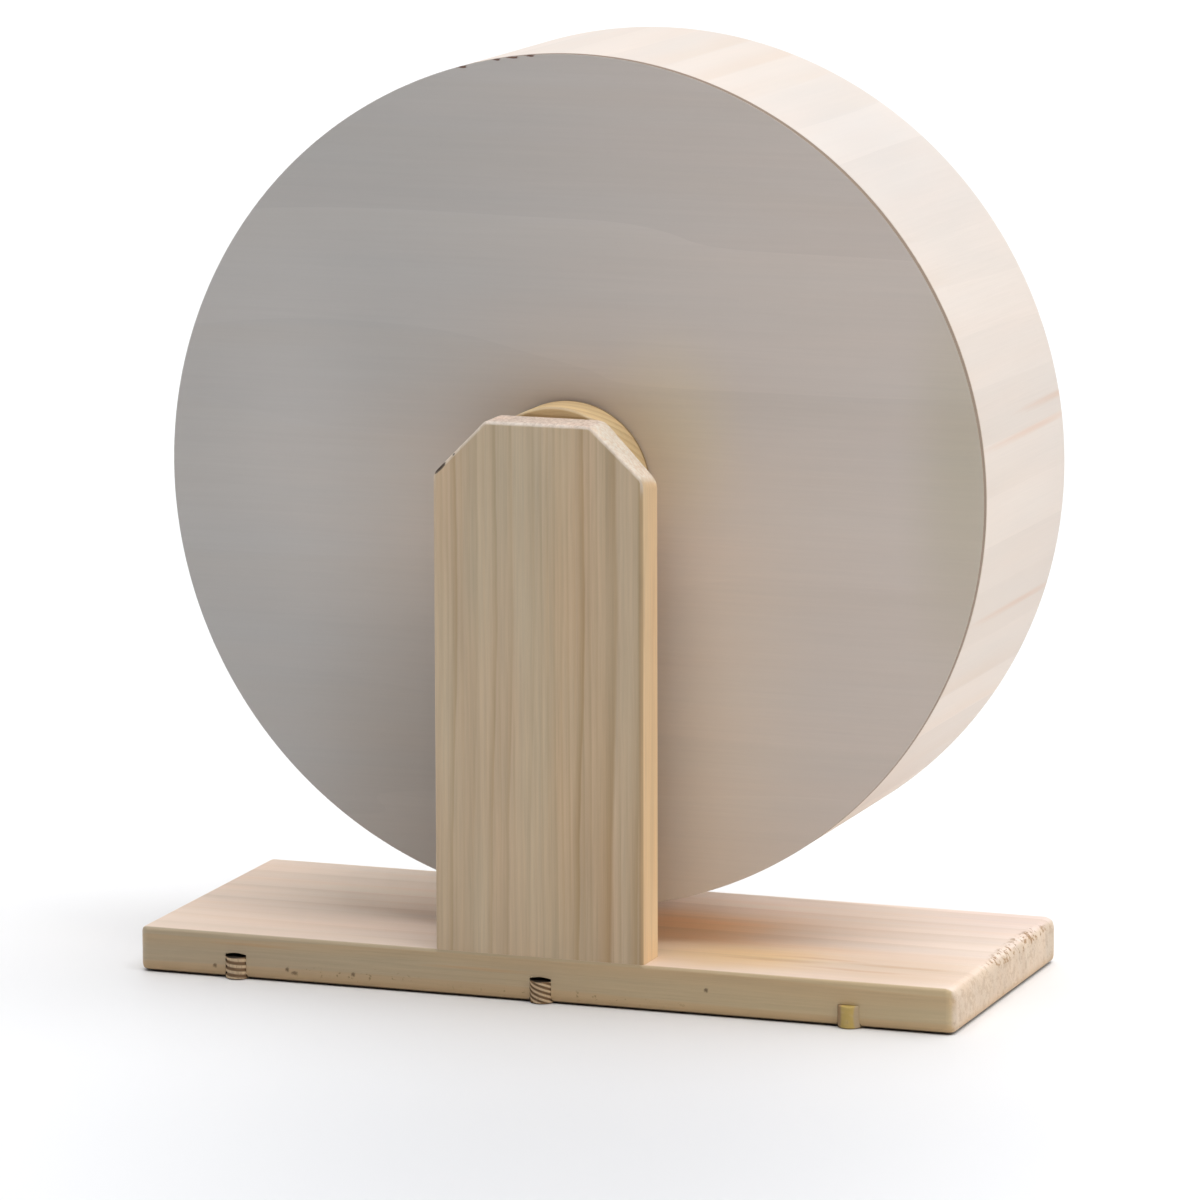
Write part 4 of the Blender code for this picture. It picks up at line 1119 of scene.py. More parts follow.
# %% Group: handling marks on metal
handling, take, give = new_group("handling", {
    "Place": (0, 0, 0),
    "Colour": (0.6, 0.6, 0.6),
    "Gloss": 0.3,
    "Scratches": 0.3,
}, {"Color": "Color", "Roughness": "Float", "Height": "Float"})
tree = handling
smudge = noise_at(tree, take["Place"], 350, 3.0)
scratched = vector_maths(tree, "MULTIPLY", take["Place"], (1.0, 0.06, 1.0))
scratch = ranged(tree, noise_at(tree, scratched, 4200, 2.0), 0.52, 0.70)
scratch = times(tree, scratch, take["Scratches"])
dull = mixed(tree, 1.0, take["Colour"], (0.80, 0.79, 0.76), "MULTIPLY")
colour = mixed(tree, ranged(tree, smudge, 0.4, 0.75), take["Colour"], dull)
plug(tree, mixed(tree, times(tree, scratch, 0.4), colour, dull), give["Color"])
rough = maths(tree, "MULTIPLY_ADD", maths(tree, "SUBTRACT", smudge, 0.5), 0.25, take["Gloss"])
plug(tree, maths(tree, "MULTIPLY_ADD", scratch, 0.15, rough), give["Roughness"])
plug(tree, maths(tree, "SUBTRACT", 1.0, scratch), give["Height"])

# %% Materials: steel, zinc plate, brass and nylon


def metal(name, colour, gloss, scratches):
    """A bare or plated metal with handling marks."""
    material, tree, shader = new_material(name, colour, gloss, 1.0)
    place, _ = coordinates(tree)
    inputs = {"Place": place, "Colour": colour, "Gloss": gloss, "Scratches": scratches}
    outputs = place_group(tree, handling, inputs)
    plug(tree, outputs["Color"], shader.inputs["Base Color"])
    plug(tree, outputs["Roughness"], shader.inputs["Roughness"])
    raise_surface(tree, shader, outputs["Height"], 0.005 * MM)
    return material


bearing_steel = metal("bearing_steel", (0.60, 0.61, 0.62), 0.20, 0.25)
zinc_plate = metal("zinc_plate", (0.66, 0.66, 0.65), 0.34, 0.55)
plain_brass = metal("plain_brass", (0.78, 0.58, 0.28), 0.32, 0.40)

moulded_nylon, tree, shader = new_material("moulded_nylon", (0.85, 0.83, 0.75), 0.5)
place, _ = coordinates(tree)
milky = noise_at(tree, place, 260, 2.0)
plug(tree, mixed(tree, milky, (0.80, 0.77, 0.68), (0.88, 0.87, 0.80)), shader.inputs["Base Color"])
grainy = noise_at(tree, place, 3500, 2.0)
plug(tree, ranged(tree, grainy, 0.3, 0.7, 0.45, 0.6), shader.inputs["Roughness"])
raise_surface(tree, shader, grainy, 0.01 * MM)
print("bearing_steel, zinc_plate, plain_brass and moulded_nylon are ready")

# %% [markdown]
# ## The post
# The post is a board with its two top corners sawn off. The saw ran a little out of square on the
# right: the cut comes down 16.5 mm on the rear face and 19.1 mm on the front one. So the board
# can't be one outline pushed through. It is lofted between a near and a far outline, then its
# edges are rounded by weight, apart from those of the foot, which meets the base flush.

# %% Post
SPARE = 2 * MM
SLIDE_GAP = 0.15 * MM
PRESS_GAP = 0.03 * MM
POST_HOLE_TOP = 33.3 * MM
POST_SCREW_HOLE = 2.05 * MM
INSERT_HOLE_START = POST_LOW.y + 2.8 * MM


def loft(name, near, far, near_y, far_y):
    """A board between two outlines of (x, z) points with as many corners each."""
    bm = bmesh.new()
    rings = []
    for outline, y in ((near, near_y), (far, far_y)):
        rings.append([bm.verts.new((x, y, z)) for x, z in outline])
    skin(bm, *rings)
    for ring in rings:
        bm.faces.new(ring)
    return make_object(name, bm)


def post_outline(right_drop):
    """The post's outline; right_drop is how far its right cut comes down."""
    low, high = POST_LOW, POST_HIGH
    cut = 18 * MM
    foot = BASE_HIGH.z + PRESS_GAP
    return [
        (low.x, foot),
        (high.x, foot),
        (high.x, high.z - right_drop),
        (high.x - cut, high.z),
        (low.x + cut, high.z),
        (low.x, high.z - cut),
    ]


def round_hole(node, start, end, gap=SLIDE_GAP, steps=48):
    """A straight upright cutter round a CAD node, from one height to another."""
    return turned(rod_outline(side_radius(node) + gap, start, end, 0), steps, upright_at(node))


def post_edge_share(middle):
    """Square at the foot, softest where the right cut meets the top, and even elsewhere."""
    if middle.z < POST_LOW.z + MM:
        return 0.0
    is_cross_edge = abs(middle.y - (POST_LOW.y + POST_HIGH.y) / 2) < MM
    return 1.0 if is_cross_edge and middle.x > 0 else 0.6


def ragged_cutter(size, centre, tilt, seed):
    """A small ragged egg-shaped cutter, its size and centre in millimetres."""
    bm = bmesh.new()
    bmesh.ops.create_icosphere(bm, subdivisions=3, radius=1.0)
    for vert in bm.verts:
        vert.co *= 1 + 0.35 * noise.noise(vert.co * 2.3 + Vector((seed, 0, 0)))
        vert.co = Vector([part * reach * MM for part, reach in zip(vert.co, size)])
    place = Matrix.Translation(Vector(centre) * MM) @ Matrix.Rotation(-tilt, 4, "Y")
    bmesh.ops.transform(bm, matrix=place, verts=bm.verts)
    return bm


near_outline, far_outline = post_outline(16.5 * MM), post_outline(19.1 * MM)
post = loft("fine_post", near_outline, far_outline, POST_LOW.y, POST_HIGH.y)
round_edges(post, 2.5 * MM, post_edge_share, 5)
insert_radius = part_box("threaded_insert")[1].x + SLIDE_GAP
insert_hole = rod_outline(insert_radius, INSERT_HOLE_START, POST_HIGH.y + SPARE, 0)
carve(post, [
    round_hole("post_dowel_left", 0, POST_HOLE_TOP),
    round_hole("post_dowel_right", 0, POST_HOLE_TOP),
    turned(insert_hole, 64),
    ragged_cutter((2.8, 0.9, 0.45), SPLIT_PLACE, math.pi / 4, 0.0),
])
for side in ("left", "right"):
    node = f"post_screw_{side}"
    pilot = rod_outline(POST_SCREW_HOLE, 0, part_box(node)[1].z + 0.3 * MM, 0)
    carve(post, [turned(pilot, 32, upright_at(node))])
stand_for(post, post_pine, "post")

# %% [markdown]
# ## The base board
# The base is a plain board with rounded edges and three short dowels set into its rear edge. They
# stand so near the edge that their holes break out of it, and leave open slots with a drilled
# point at the top. The holes are cut out for good with exact booleans.

# %% Base board
base_outline = [
    (BASE_LOW.x, BASE_LOW.z),
    (BASE_HIGH.x, BASE_LOW.z),
    (BASE_HIGH.x, BASE_HIGH.z),
    (BASE_LOW.x, BASE_HIGH.z),
]
base = loft("fine_base_board", base_outline, base_outline, BASE_LOW.y, BASE_HIGH.y)
bm = bmesh.new()
bm.from_mesh(base.data)
for x in (POST_LOW.x, POST_HIGH.x):
    everything = bm.verts[:] + bm.edges[:] + bm.faces[:]
    bmesh.ops.bisect_plane(bm, geom=everything, plane_co=(x, 0, 0), plane_no=(1, 0, 0))
bm.to_mesh(base.data)
bm.free()


def base_edge_share(middle):
    """Square under the post, crisp along the rear, softest at the corners and the right end."""
    on_rear_top = middle.y < BASE_LOW.y + MM and middle.z > BASE_HIGH.z - MM
    if on_rear_top:
        return 0.0 if abs(middle.x) < POST_HIGH.x else 0.4
    is_upright = abs(middle.z - BASE_HIGH.z / 2) < MM
    is_right_end = middle.x > BASE_HIGH.x - MM and middle.z > BASE_HIGH.z - MM
    return 1.0 if is_upright or is_right_end else 0.7


def is_rounding_end(middle):
    """Whether an edge lies where the rear rounding stops beside the post."""
    is_beside_post = POST_HIGH.x - 2 * MM < abs(middle.x) < POST_HIGH.x - 0.1 * MM
    is_at_rear = middle.y < BASE_LOW.y + 2 * MM
    return is_beside_post and is_at_rear and middle.z > BASE_HIGH.z - 2 * MM


HOLE_SPARE = {"left": 0.8 * MM, "middle": 0.8 * MM, "right": 0.1 * MM}
SCREW_HEAD_HOLE = 4.05 * MM
round_edges(base, 3.4 * MM, base_edge_share, 6)
cutters = []
for side in EDGE_SIDES:
    node = f"edge_dowel_{side}"
    reach = side_radius(node) + PRESS_GAP
    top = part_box(node)[1].z
    cutters.append(turned(rounded([
        (0, -SPARE, 0),
        (reach, -SPARE, 0),
        (reach, top + HOLE_SPARE[side], 0),
        (0, top + 2 * HOLE_SPARE[side], 0),
    ]), 48, upright_at(node)))
for side in ("left", "right"):
    cutters.append(round_hole(f"post_dowel_{side}", 4.7 * MM, BASE_HIGH.z + SPARE))
    cutters.append(turned(rounded([
        (0, -SPARE, 0),
        (SCREW_HEAD_HOLE, -SPARE, 0),
        (SCREW_HEAD_HOLE, 0.5 * MM, 0),
        (POST_SCREW_HOLE, 3.25 * MM, 0),
        (POST_SCREW_HOLE, BASE_HIGH.z + SPARE, 0),
        (0, BASE_HIGH.z + SPARE, 0),
    ]), 48, upright_at(f"post_screw_{side}")))
carve(base, cutters)
stand_for(base, base_pine, "base_board", is_rounding_end)

# %% [markdown]
# ## Dowels
# The edge dowels have ridges pressed round them in a slow spiral: one start on the left dowel,
# five on the middle one and two on the right one. A function of turn and height gives the depth
# of the groove at each point, and the lathe helper sinks the surface by it. The hidden dowels in
# the post's foot have straight flutes, which let the glue rise.

# %% Edge dowels and post dowels
DOWEL_EDGE = 0.4 * MM
GROOVE_SHARE = 0.75


def spiral_grooves(side, starts, lead, depth):
    """Grooves in a side of this radius that climb by their lead in each turn."""
    spacing = lead / starts

    def relief(turn, radius, height):
        on_side = max(0.0, 1 - (side - radius) / DOWEL_EDGE)
        phase = min(((height / spacing + starts * turn / FULL_TURN) % 1.0) / GROOVE_SHARE, 1.0)
        return depth * on_side * (1 - math.cos(FULL_TURN * phase)) / 2

    return relief


def straight_flutes(count, depth):
    """Flutes that run the whole length."""

    def relief(turn, radius, height):
        return depth * max(0.0, math.cos(count * turn)) ** 3 if radius > 2 * MM else 0.0

    return relief


def upright_dowel(node, material, relief, edge, spacing, steps):
    """A dowel over an upright CAD dowel, its mesh as fine as the relief needs."""
    low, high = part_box(node)
    outline = divided(rod_outline(side_radius(node), low.z, high.z, edge), spacing)
    dress(node, turned(outline, steps, upright_at(node), relief), material)


EDGE_DOWELS = {
    "left": (left_beech, 1, 2.1 * MM, 0.45 * MM),
    "middle": (middle_beech, 5, 8.4 * MM, 0.45 * MM),
    "right": (glued_beech, 2, 4.0 * MM, 0.06 * MM),
}
for side, (material, starts, lead, depth) in EDGE_DOWELS.items():
    node = f"edge_dowel_{side}"
    relief = spiral_grooves(side_radius(node), starts, lead, depth)
    upright_dowel(node, material, relief, DOWEL_EDGE, 0.12 * MM, 144)
for side in ("left", "right"):
    relief = straight_flutes(12, 0.25 * MM)
    upright_dowel(f"post_dowel_{side}", dowel_beech, relief, 0.7 * MM, 0.3 * MM, 96)

# %% [markdown]
# ## The disc
# The disc is a lathe shape like the rest. It has many steps round its rim, because a rim that
# fills the picture shows every corner. A few small tears are cut out of the rim's near edge.

# %% Back disc
RIM_STEPS = 360
BORE_RADIUS = 4.05 * MM
HUB_BORE = 7.525 * MM
HUB_SCREW_HOLE = 1.85 * MM
SCREW_CIRCLE = (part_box("hub_screw_1")[0].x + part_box("hub_screw_1")[1].x) / 2 * math.sqrt(2)


def at_hub_screws(outline, steps):
    """Cutters of this section at the four screws that hold the hub together."""
    found = []
    for quarter in range(4):
        turn = math.pi / 4 + quarter * math.pi / 2
        across = Matrix.Translation((SCREW_CIRCLE * math.cos(turn), 0, SCREW_CIRCLE * math.sin(turn)))
        found.append(turned(outline, steps, across @ ALONG_AXLE))
    return found


def tear(degrees, reach):
    """A small ragged cutter on the near edge of the disc's rim."""
    place = on_rim_at(degrees, 0.05, DISC_LOW.y / MM + 0.1)
    return ragged_cutter((reach, 0.5, 0.35), place, math.radians(degrees - 90), degrees)


disc_outline = ring_outline(HUB_BORE, DRUM_RADIUS, DISC_LOW.y, DISC_HIGH.y, 0.25 * MM)
disc = make_object("fine_back_disc", turned(disc_outline, RIM_STEPS))
disc_hole = rod_outline(HUB_SCREW_HOLE, DISC_LOW.y - SPARE, DISC_HIGH.y + SPARE, 0)
carve(disc, at_hub_screws(disc_hole, 32))
carve(disc, [tear(degrees, reach) for degrees, reach in RIM_TEARS])
stand_for(disc, disc_plywood, "back_disc")

# %% [markdown]
# ## The bent band
# A strip of this thickness won't bend so far, so its inside is sawn across at even distances. The
# kerfs let it bend, and give the animal its grip. The strip's two ends are cut on a slant and
# glued. The section is drawn as a row of cells, each with one kerf, and then drawn out from the
# disc to the mouth, with a small step in at both ends that rounds the edges.

# %% Rim band
BAND_LOW, BAND_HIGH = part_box("rim_band")
BAND_THICKNESS = 4 * MM
KERF_COUNT = 71
KERF_WIDTH = 1.4 * MM
KERF_DEPTH = 1.8 * MM
SEAM_GAP = 0.3 * MM
LAP_SHARE = 0.8
BAND_EDGE = 0.5 * MM
CELL_STEPS = 5


def band_cell(cell):
    """One cell's outer and inner points, as (radius, turn)."""
    inner = DRUM_RADIUS - BAND_THICKNESS
    pitch = (FULL_TURN - SEAM_GAP / DRUM_RADIUS) / KERF_COUNT
    half_kerf = KERF_WIDTH / 2 / inner
    start = LAP_ANGLE + cell * pitch
    slant = LAP_SHARE * (pitch / 2 - half_kerf)
    first = start + (slant if cell == 0 else 0)
    last = start + pitch + (slant if cell == KERF_COUNT - 1 else 0)
    middle = start + pitch / 2
    outer = [(DRUM_RADIUS, start + pitch * step / CELL_STEPS) for step in range(CELL_STEPS + 1)]
    floor = [(inner + KERF_DEPTH, middle + half_kerf * share) for share in (-1.0, 0.0, 1.0)]
    before = [(inner, first), (inner, (first + middle - half_kerf) / 2), (inner, middle - half_kerf)]
    after = [(inner, middle + half_kerf), (inner, (last + middle + half_kerf) / 2), (inner, last)]
    return outer, before + floor + after


def band_stations():
    """Places along the axle, with how far the edges are rounded in at each."""
    steps = 4
    near, far = [], []
    for step in range(steps + 1):
        turn = math.pi / 2 * step / steps
        along, inset = BAND_EDGE * (1 - math.cos(turn)), BAND_EDGE * (1 - math.sin(turn))
        near.append((BAND_LOW.y + along, inset))
        far.insert(0, (BAND_HIGH.y - along, inset))
    return near + far


def band_mesh():
    """The whole band: two skins, two rounded ends and the two faces of the lap."""
    bm = bmesh.new()
    middle_radius = DRUM_RADIUS - BAND_THICKNESS / 2
    chains = []
    for y, inset in band_stations():
        outer_row, inner_row, row = [], [], []
        for cell in range(KERF_COUNT):
            made = []
            for points, chain in zip(band_cell(cell), (outer_row, inner_row)):
                verts = [chain[-1]] if chain else []
                for radius, turn in points[len(verts) :]:
                    reach = radius - inset if radius > middle_radius else radius
                    reach = radius + inset if radius < DRUM_RADIUS - BAND_THICKNESS + MM / 10 else reach
                    place = (reach * math.cos(turn), y, AXLE_HEIGHT + reach * math.sin(turn))
                    verts.append(bm.verts.new(place))
                chain += verts[1:] if chain else verts
                made.append(verts)
            row.append(made)
        chains.append((outer_row, inner_row, row))
    for (outer, inner, _), (next_outer, next_inner, _) in zip(chains, chains[1:]):
        for line, next_line in ((outer, next_outer), (inner, next_inner)):
            for a, b, c, d in zip(line, line[1:], next_line[1:], next_line):
                bm.faces.new((a, b, c, d))
        for end in (0, -1):
            bm.faces.new((outer[end], inner[end], next_inner[end], next_outer[end]))
    for _, _, row in (chains[0], chains[-1]):
        for outer, inner in row:
            bm.faces.new(outer + inner[::-1])
    return bm


dress("rim_band", band_mesh(), band_veneer)

# %% [markdown]
# ## Hub block and hub plate
# The block turns behind the post and carries the rear bearing in a pocket. The plate clamps the
# disc against it from inside the drum, and carries the front bearing. Both are lathe shapes with
# screw holes, countersunk in the plate.

# %% Hub block and hub plate
block_low, block_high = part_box("hub_block")
plate_low, plate_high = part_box("hub_plate")
POCKET_RADIUS = 11.15 * MM
BEARING_WIDTH = 7 * MM
SINK_RADIUS = 3.65 * MM
HUB_STEPS = 160
hub_radius = block_high.x
pocket_end = block_low.y + BEARING_WIDTH + 0.3 * MM
block_outline = rounded([
    (POCKET_RADIUS, block_low.y, 0.3 * MM),
    (hub_radius, block_low.y, 1.0 * MM),
    (hub_radius, block_high.y, 0.4 * MM),
    (HUB_BORE, block_high.y, 0.2 * MM),
    (HUB_BORE, pocket_end, 0.2 * MM),
    (POCKET_RADIUS, pocket_end, 0.2 * MM),
])
block = make_object("fine_hub_block", turned(block_outline, HUB_STEPS))
block_hole = rod_outline(HUB_SCREW_HOLE, block_high.y - 9.3 * MM, block_high.y + SPARE, 0)
carve(block, at_hub_screws(block_hole, 32))
stand_for(block, golden_wood, "hub_block")

plate_outline = rounded([
    (POCKET_RADIUS, plate_low.y, 0.2 * MM),
    (hub_radius, plate_low.y, 0.3 * MM),
    (hub_radius, plate_high.y, 1.2 * MM),
    (POCKET_RADIUS, plate_high.y, 0.4 * MM),
])
plate = make_object("fine_hub_plate", turned(plate_outline, HUB_STEPS))
sink_outline = rounded([
    (0, plate_low.y - SPARE, 0),
    (HUB_SCREW_HOLE, plate_low.y - SPARE, 0),
    (HUB_SCREW_HOLE, plate_high.y - 2.35 * MM, 0),
    (SINK_RADIUS, plate_high.y, 0),
    (SINK_RADIUS, plate_high.y + SPARE, 0),
    (0, plate_high.y + SPARE, 0),
])
carve(plate, at_hub_screws(sink_outline, 48))
stand_for(plate, golden_wood, "hub_plate")

# %% [markdown]
# ## Screws
# Six countersunk screws, four in the hub and two up into the post. The same lathe helper cuts the
# thread: a wave of height and turn together makes a ridge that climbs. The cross in the head is
# cut out with a small tapered cross. Each screw's sizes are its head's radius, its head's height
# and the radius of its thread.

# %% Screws
HUB_SCREW_SIZES = (3.5 * MM, 2.2 * MM, 1.7 * MM)
POST_SCREW_SIZES = (3.9 * MM, 2.6 * MM, 1.9 * MM)


def thread(pitch, depth, start, end):
    """A ridge that climbs by its pitch in each turn, between two heights."""

    def relief(turn, radius, height):
        if radius < depth or not start < height < end:
            return 0.0
        phase = (height / pitch + turn / FULL_TURN) % 1.0
        return depth * min(1.0, 2.6 * min(phase, 1.0 - phase))

    return relief


def cross_cutter(reach, width, depth):
    """A tapered cross that points along Z."""
    bm = bmesh.new()
    rings = []
    for height, share in ((-MM, 1.15), (depth, 0.45)):
        a, b = reach * share, width / 2 * (0.4 + 0.6 * share)
        corner = [(a, -b), (a, b), (b, b)]
        ring = []
        for quarter in range(4):
            turn = Matrix.Rotation(quarter * math.pi / 2, 2)
            ring += [bm.verts.new((*(turn @ Vector(point)), height)) for point in corner]
        rings.append(ring)
    skin(bm, *rings)
    for ring in rings:
        bm.faces.new(ring)
    return bm


def wood_screw(node, place, sizes, length):
    """A countersunk screw whose head starts at the origin of its place and points along Z."""
    head_radius, head_height, radius = sizes
    point = 1.8 * radius
    corners = [
        (0, 0, 0),
        (head_radius, 0, 0.12 * MM),
        (radius, head_height, 0.2 * MM),
        (radius, length - point, 0),
        (0, length, 0),
    ]
    spiral = thread(1.7 * MM, 0.45 * MM, head_height + 3 * MM, length - 0.2 * MM)
    bm = turned(divided(rounded(corners), 0.28 * MM), 40, place, spiral)
    piece = make_object(f"fine_{node}", bm)
    cross = cross_cutter(0.62 * head_radius, 1.1 * MM, 0.75 * head_height)
    bmesh.ops.transform(cross, matrix=place, verts=cross.verts)
    carve(piece, [cross])
    stand_for(piece, zinc_plate, node)


for number in range(1, 5):
    node = f"hub_screw_{number}"
    low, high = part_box(node)
    middle = box_middle(node)
    place = Matrix.Translation((middle.x, high.y, middle.z)) @ Matrix.Rotation(math.pi / 2, 4, "X")
    twist = Matrix.Rotation(math.radians(37 * number), 4, "Z")
    wood_screw(node, place @ twist, HUB_SCREW_SIZES, high.y - low.y)
for side in ("left", "right"):
    node = f"post_screw_{side}"
    low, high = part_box(node)
    wood_screw(node, upright_at(node, low.z), POST_SCREW_SIZES, high.z - low.z)

# %% [markdown]
# ## The axle
# One hexagon bolt holds the drum on the post. A hexagon is a circle whose radius changes with the
# turn, so the bolt is a lathe shape too: the relief brings the round head in to its flats, and a
# cone cuts the six corners at the top, as on a real bolt.

# %% Axle bolt, washers, sleeve and insert
bolt_low, bolt_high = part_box("axle_bolt")
BOLT_RADIUS = 3.9 * MM
FLAT_RADIUS = 6.5 * MM
HEAD_HEIGHT = 5.3 * MM
AXLE_STEPS = 96
head_start = bolt_high.y - HEAD_HEIGHT
corner_radius = FLAT_RADIUS / math.cos(math.pi / 6)
bolt_thread = thread(1.25 * MM, 0.6 * MM, bolt_low.y + 0.9 * MM, bolt_low.y + 26 * MM)


def bolt_relief(turn, radius, height):
    """Flats and a cone on the head, and a thread on the shank."""
    if height < head_start:
        return bolt_thread(turn, radius, height)
    sector = (turn + math.pi / 6) % (math.pi / 3) - math.pi / 6
    flat = FLAT_RADIUS / math.cos(math.pi / 6 - abs(sector))
    cone = 0.95 * FLAT_RADIUS + (bolt_high.y - height) * math.sqrt(3)
    return max(0.0, radius - min(flat, cone))


bolt_outline = rounded([
    (0, bolt_low.y, 0),
    (BOLT_RADIUS - 0.8 * MM, bolt_low.y, 0),
    (BOLT_RADIUS, bolt_low.y + 0.8 * MM, 0),
    (BOLT_RADIUS, head_start, 0),
    (corner_radius, head_start, 0.15 * MM),
    (corner_radius, bolt_high.y, 0),
    (0, bolt_high.y, 0),
])
bolt_mesh = turned(divided(bolt_outline, 0.3 * MM), AXLE_STEPS, ALONG_AXLE, bolt_relief)
dress("axle_bolt", bolt_mesh, zinc_plate)

AXLE_RINGS = {
    "threaded_insert": (plain_brass, 0.25 * MM),
    "shim_washer": (bearing_steel, 0.15 * MM),
    "axle_sleeve": (bearing_steel, 0.30 * MM),
    "head_washer": (zinc_plate, 0.30 * MM),
}
for node, (material, edge) in AXLE_RINGS.items():
    low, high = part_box(node)
    outline = ring_outline(BORE_RADIUS, high.x, low.y, high.y, edge)
    spiral = None
    if node == "threaded_insert":
        outline = divided(outline, 0.25 * MM)
        coarse = thread(2.0 * MM, 0.5 * MM, low.y + MM, high.y - 1.5 * MM)

        def spiral(turn, radius, height):
            return coarse(turn, radius, height) if radius > BORE_RADIUS + MM else 0.0

    dress(node, turned(outline, AXLE_STEPS, ALONG_AXLE, spiral), material)

# %% [markdown]
# ## Ball bearings
# Each bearing has two races with a groove for the balls, seven balls, a crown cage that keeps
# them apart, and a pressed steel shield. The races and the shield are lathe shapes whose section
# holds the groove or the pressed step. The cage is a ring with seven round pockets cut out.

# %% Bearings
BALL_RADIUS = 1.98 * MM
BALL_GAP = 0.2 * MM
PITCH_RADIUS = 7.525 * MM
LAND_REACH = 0.7 * BALL_RADIUS
CAGE_BORE = PITCH_RADIUS - LAND_REACH + 2 * BALL_GAP
HALF_WIDTH = BEARING_WIDTH / 2
GROOVE_STEPS = 16
BALLS = range(1, 8)


def race_outline(side, middle):
    """A race's section; side is -1 for the inner race and 1 for the outer one."""
    wall = BORE_RADIUS if side < 0 else 11 * MM
    land = PITCH_RADIUS + side * LAND_REACH
    groove = BALL_RADIUS + BALL_GAP
    reach = math.acos(LAND_REACH / groove)
    points = []
    for step in range(GROOVE_STEPS + 1):
        turn = reach * (2 * step / GROOVE_STEPS - 1)
        radius = PITCH_RADIUS + side * groove * math.cos(turn)
        points.append((radius, middle + groove * math.sin(turn), 0))
    edge = 0.3 * MM
    start = [(wall, middle - HALF_WIDTH, edge), (land, middle - HALF_WIDTH, edge / 2)]
    end = [(land, middle + HALF_WIDTH, edge / 2), (wall, middle + HALF_WIDTH, edge)]
    return rounded(start + points + end)


def shield_outline(side, middle):
    """A pressed shield with one step; side is -1 or 1, the way it faces."""
    inner = PITCH_RADIUS - LAND_REACH + BALL_GAP
    outer = PITCH_RADIUS + LAND_REACH - BALL_GAP
    step = (inner + outer) / 2
    face = middle + side * HALF_WIDTH
    levels = [(inner, 0.0), (step - 0.3 * MM, 0.0), (step + 0.1 * MM, 0.15 * MM), (outer, 0.15 * MM)]
    back = [(step, 0.40 * MM), (step - 0.4 * MM, 0.25 * MM), (inner, 0.25 * MM)]
    section = levels + [(outer, 0.40 * MM)] + back
    return [Vector((radius, face - side * depth)) for radius, depth in section]


def ball_bm(node, radius, fineness):
    """A ball of this radius in the middle of a CAD ball."""
    bm = bmesh.new()
    place = Matrix.Translation(box_middle(node))
    bmesh.ops.create_icosphere(bm, subdivisions=fineness, radius=radius, matrix=place)
    return bm


for prefix, side in (("rear", -1), ("front", 1)):
    low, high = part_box(f"{prefix}_inner_race")
    middle = (low.y + high.y) / 2
    outlines = {
        "inner_race": race_outline(-1, middle),
        "outer_race": race_outline(1, middle),
        "shield": shield_outline(side, middle),
    }
    for name, outline in outlines.items():
        dress(f"{prefix}_{name}", turned(outline, AXLE_STEPS), bearing_steel)
    for number in BALLS:
        node = f"{prefix}_ball_{number}"
        dress(node, ball_bm(node, BALL_RADIUS, 4), bearing_steel)
    node = f"{prefix}_cage"
    low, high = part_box(node)
    cage_outline = ring_outline(CAGE_BORE, high.x, low.y, high.y, 0.15 * MM)
    cage = make_object(f"fine_{node}", turned(cage_outline, AXLE_STEPS))
    carve(cage, [ball_bm(f"{prefix}_ball_{number}", BALL_RADIUS + BALL_GAP, 3) for number in BALLS])
    stand_for(cage, moulded_nylon, node)

# %% [markdown]
# ## Floor, light and camera
# The object stands on a plain white sweep. A bright sky behind it and a dim one in front leave the side
# near the camera in soft shade. Two far lights with broad discs add a softbox overhead and a window on
# the right. A low amber lamp warms the base board under the drum, where the photograph has a warm glow.
# A big floor and the sky give the white ground without a wall that would hide the object from other
# sides. The floor is painted a little greyer in front of the object, as it is in the photograph: a
# painted shadow of the object.

# %% Floor
FLOOR_REACH = 12.0
FLOOR_DROP = 0.2 * MM
SHADE_CENTRE = (0.078, -0.250, 0)
SHADE_REACH = (0.15, 0.21, 1)
floor_white, tree, shader = new_material("floor_white", (0.90, 0.90, 0.905), 0.55)
place, _ = coordinates(tree)
offset = vector_maths(tree, "SUBTRACT", place, SHADE_CENTRE)
distance = length_of(tree, vector_maths(tree, "DIVIDE", offset, SHADE_REACH))
distance = maths(tree, "MULTIPLY_ADD", waver(tree, place, 3), 0.3, distance)
# The floor is painted greyer round a place in front of the object, as a painted shadow.
far_share = ranged(tree, distance, 0.1, 1.6)
floor_with_painted_shadow = mixed(tree, far_share, (0.745, 0.755, 0.770), (0.905, 0.910, 0.915))
plug(tree, floor_with_painted_shadow, shader.inputs["Base Color"])
bm = bmesh.new()
bmesh.ops.create_grid(bm, x_segments=24, y_segments=24, size=FLOOR_REACH)
bmesh.ops.translate(bm, vec=(0, 0, -FLOOR_DROP), verts=bm.verts)
floor = make_object("floor", bm)
floor.data.materials.append(floor_white)
print("floor:", 2 * FLOOR_REACH, "m square")

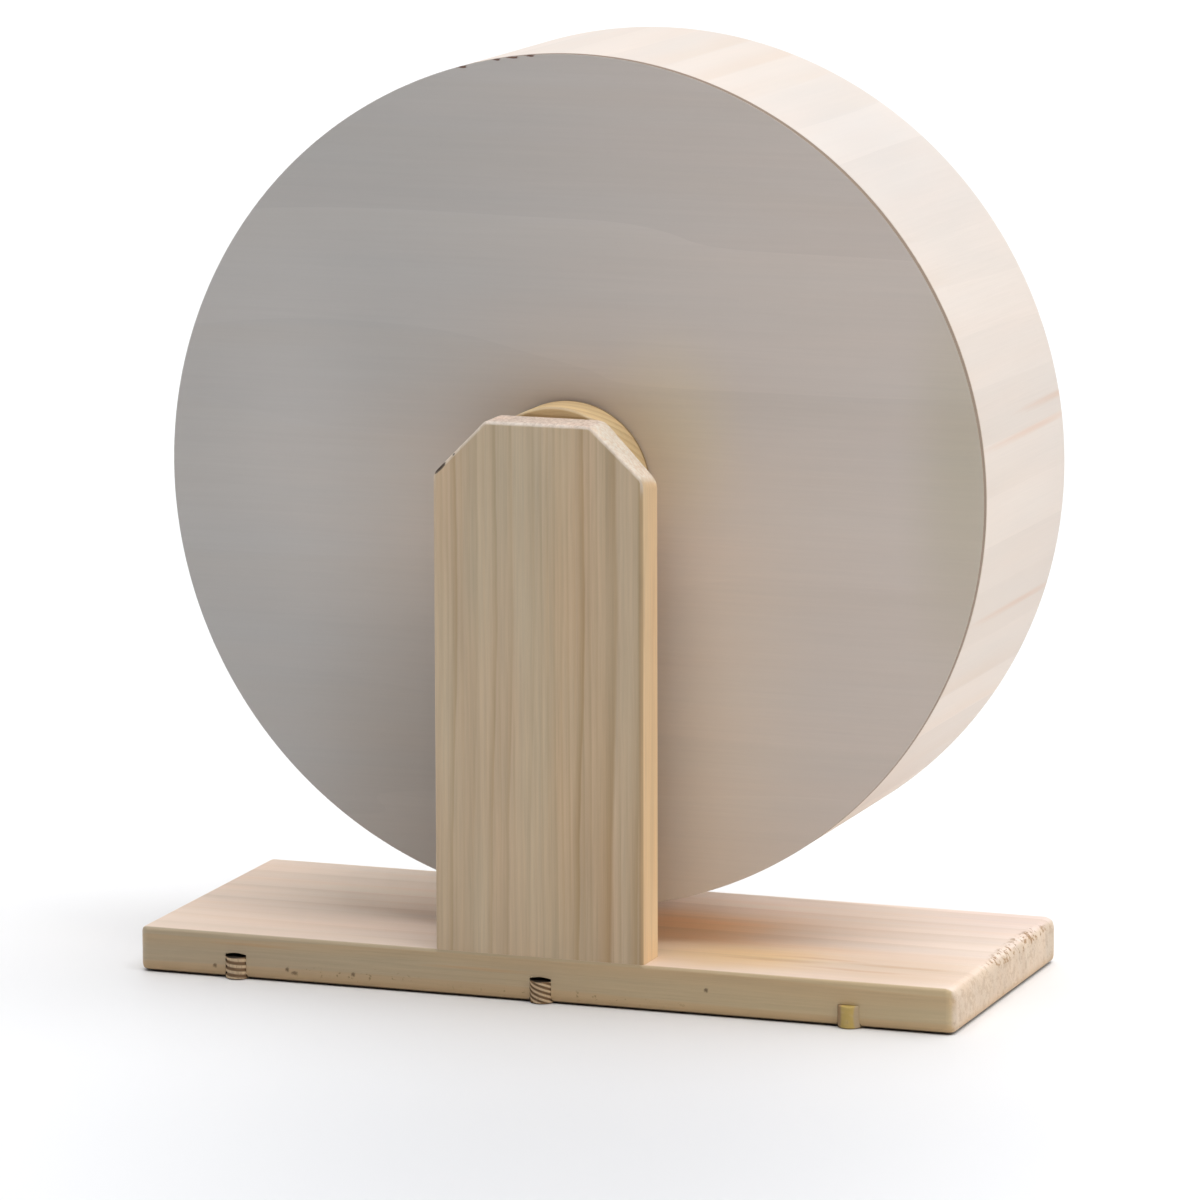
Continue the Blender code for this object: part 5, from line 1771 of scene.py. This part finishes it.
# %% Sky and lamps
SKY_IN_FRONT = 0.03
SKY_BEHIND = 0.82
sky = bpy.data.worlds.new("soft_daylight")
sky.use_nodes = True
bpy.context.scene.world = sky
tree = sky.node_tree
direction = add(tree, "ShaderNodeTexCoord").outputs["Generated"]
behind = split(tree, direction)[1]
strength = ranged(tree, behind, -0.7, 0.7, SKY_IN_FRONT, SKY_BEHIND)
seen = add(tree, "ShaderNodeLightPath").outputs["Is Camera Ray"]
either = {"Factor": seen, "A": strength, "B": 1.0}
strength = add(tree, "ShaderNodeMix", either, data_type="FLOAT").outputs[0]
plug(tree, (1.0, 1.0, 1.0), tree.nodes["Background"].inputs["Color"])
plug(tree, strength, tree.nodes["Background"].inputs["Strength"])


def new_lamp(name, kind, strength, towards, colour):
    """A lamp that shines from the direction that towards points in."""
    light = bpy.data.lights.new(name, kind)
    light.energy = strength
    light.color = colour
    lamp = new_object(name, light)
    lamp.rotation_euler = Vector(towards).to_track_quat("Z", "Y").to_euler()
    print(f"{name}: {kind.lower()}, strength {strength}")
    return lamp


window = new_lamp("window", "SUN", 0.56, (0.75, 0.35, 0.75), (1.0, 0.98, 0.95))
window.data.angle = math.radians(80)
softbox = new_lamp("softbox", "SUN", 2.26, (0.12, -0.06, 1.0), (0.970, 0.975, 1.0))
softbox.data.angle = math.radians(62)

LAMP_TARGET = Vector((62, -10, 26)) * MM
LAMP_DIRECTION = Vector((0.80, -0.32, 0.42)).normalized()
LAMP_DISTANCE = 1.6
low_lamp = new_lamp("low_lamp", "SPOT", 26.0, LAMP_DIRECTION, (1.0, 0.74, 0.42))
low_lamp.location = LAMP_TARGET + LAMP_DISTANCE * LAMP_DIRECTION
low_lamp.data.spot_size = math.radians(7.0)
low_lamp.data.spot_blend = 1.0
low_lamp.data.shadow_soft_size = 0.10
bpy.context.scene.view_settings.view_transform = "Standard"

# %% [markdown]
# The camera's place, turns and lens were fitted to the outlines of the drum and the boards in the
# photograph. It stands far off with a long lens, so lines hardly run together. CLIP holds the
# nearest and the farthest distance that it sees, in metres.

# %% Camera
CAMERA_PLACE = Vector((832.985, -2302.333, 562.116)) * MM
CAMERA_YAW = math.radians(19.90)
CAMERA_PITCH = math.radians(10.18)
CAMERA_ROLL = math.radians(-0.156)
SENSOR_WIDTH = 36.0
LENS = 226.754
CLIP = (0.05, 60.0)
camera_data = bpy.data.cameras.new("camera")
camera_data.sensor_width = SENSOR_WIDTH
camera_data.lens = LENS
camera_data.clip_start, camera_data.clip_end = CLIP
camera = new_object("camera", camera_data)
camera.matrix_world = (
    Matrix.Translation(CAMERA_PLACE)
    @ Matrix.Rotation(CAMERA_YAW, 4, "Z")
    @ Matrix.Rotation(math.pi / 2 - CAMERA_PITCH, 4, "X")
    @ Matrix.Rotation(CAMERA_ROLL, 4, "Z")
)
bpy.context.scene.camera = camera
print("camera", round((CAMERA_PLACE - Vector((0, 0, 0.15))).length, 2), "m from the object")
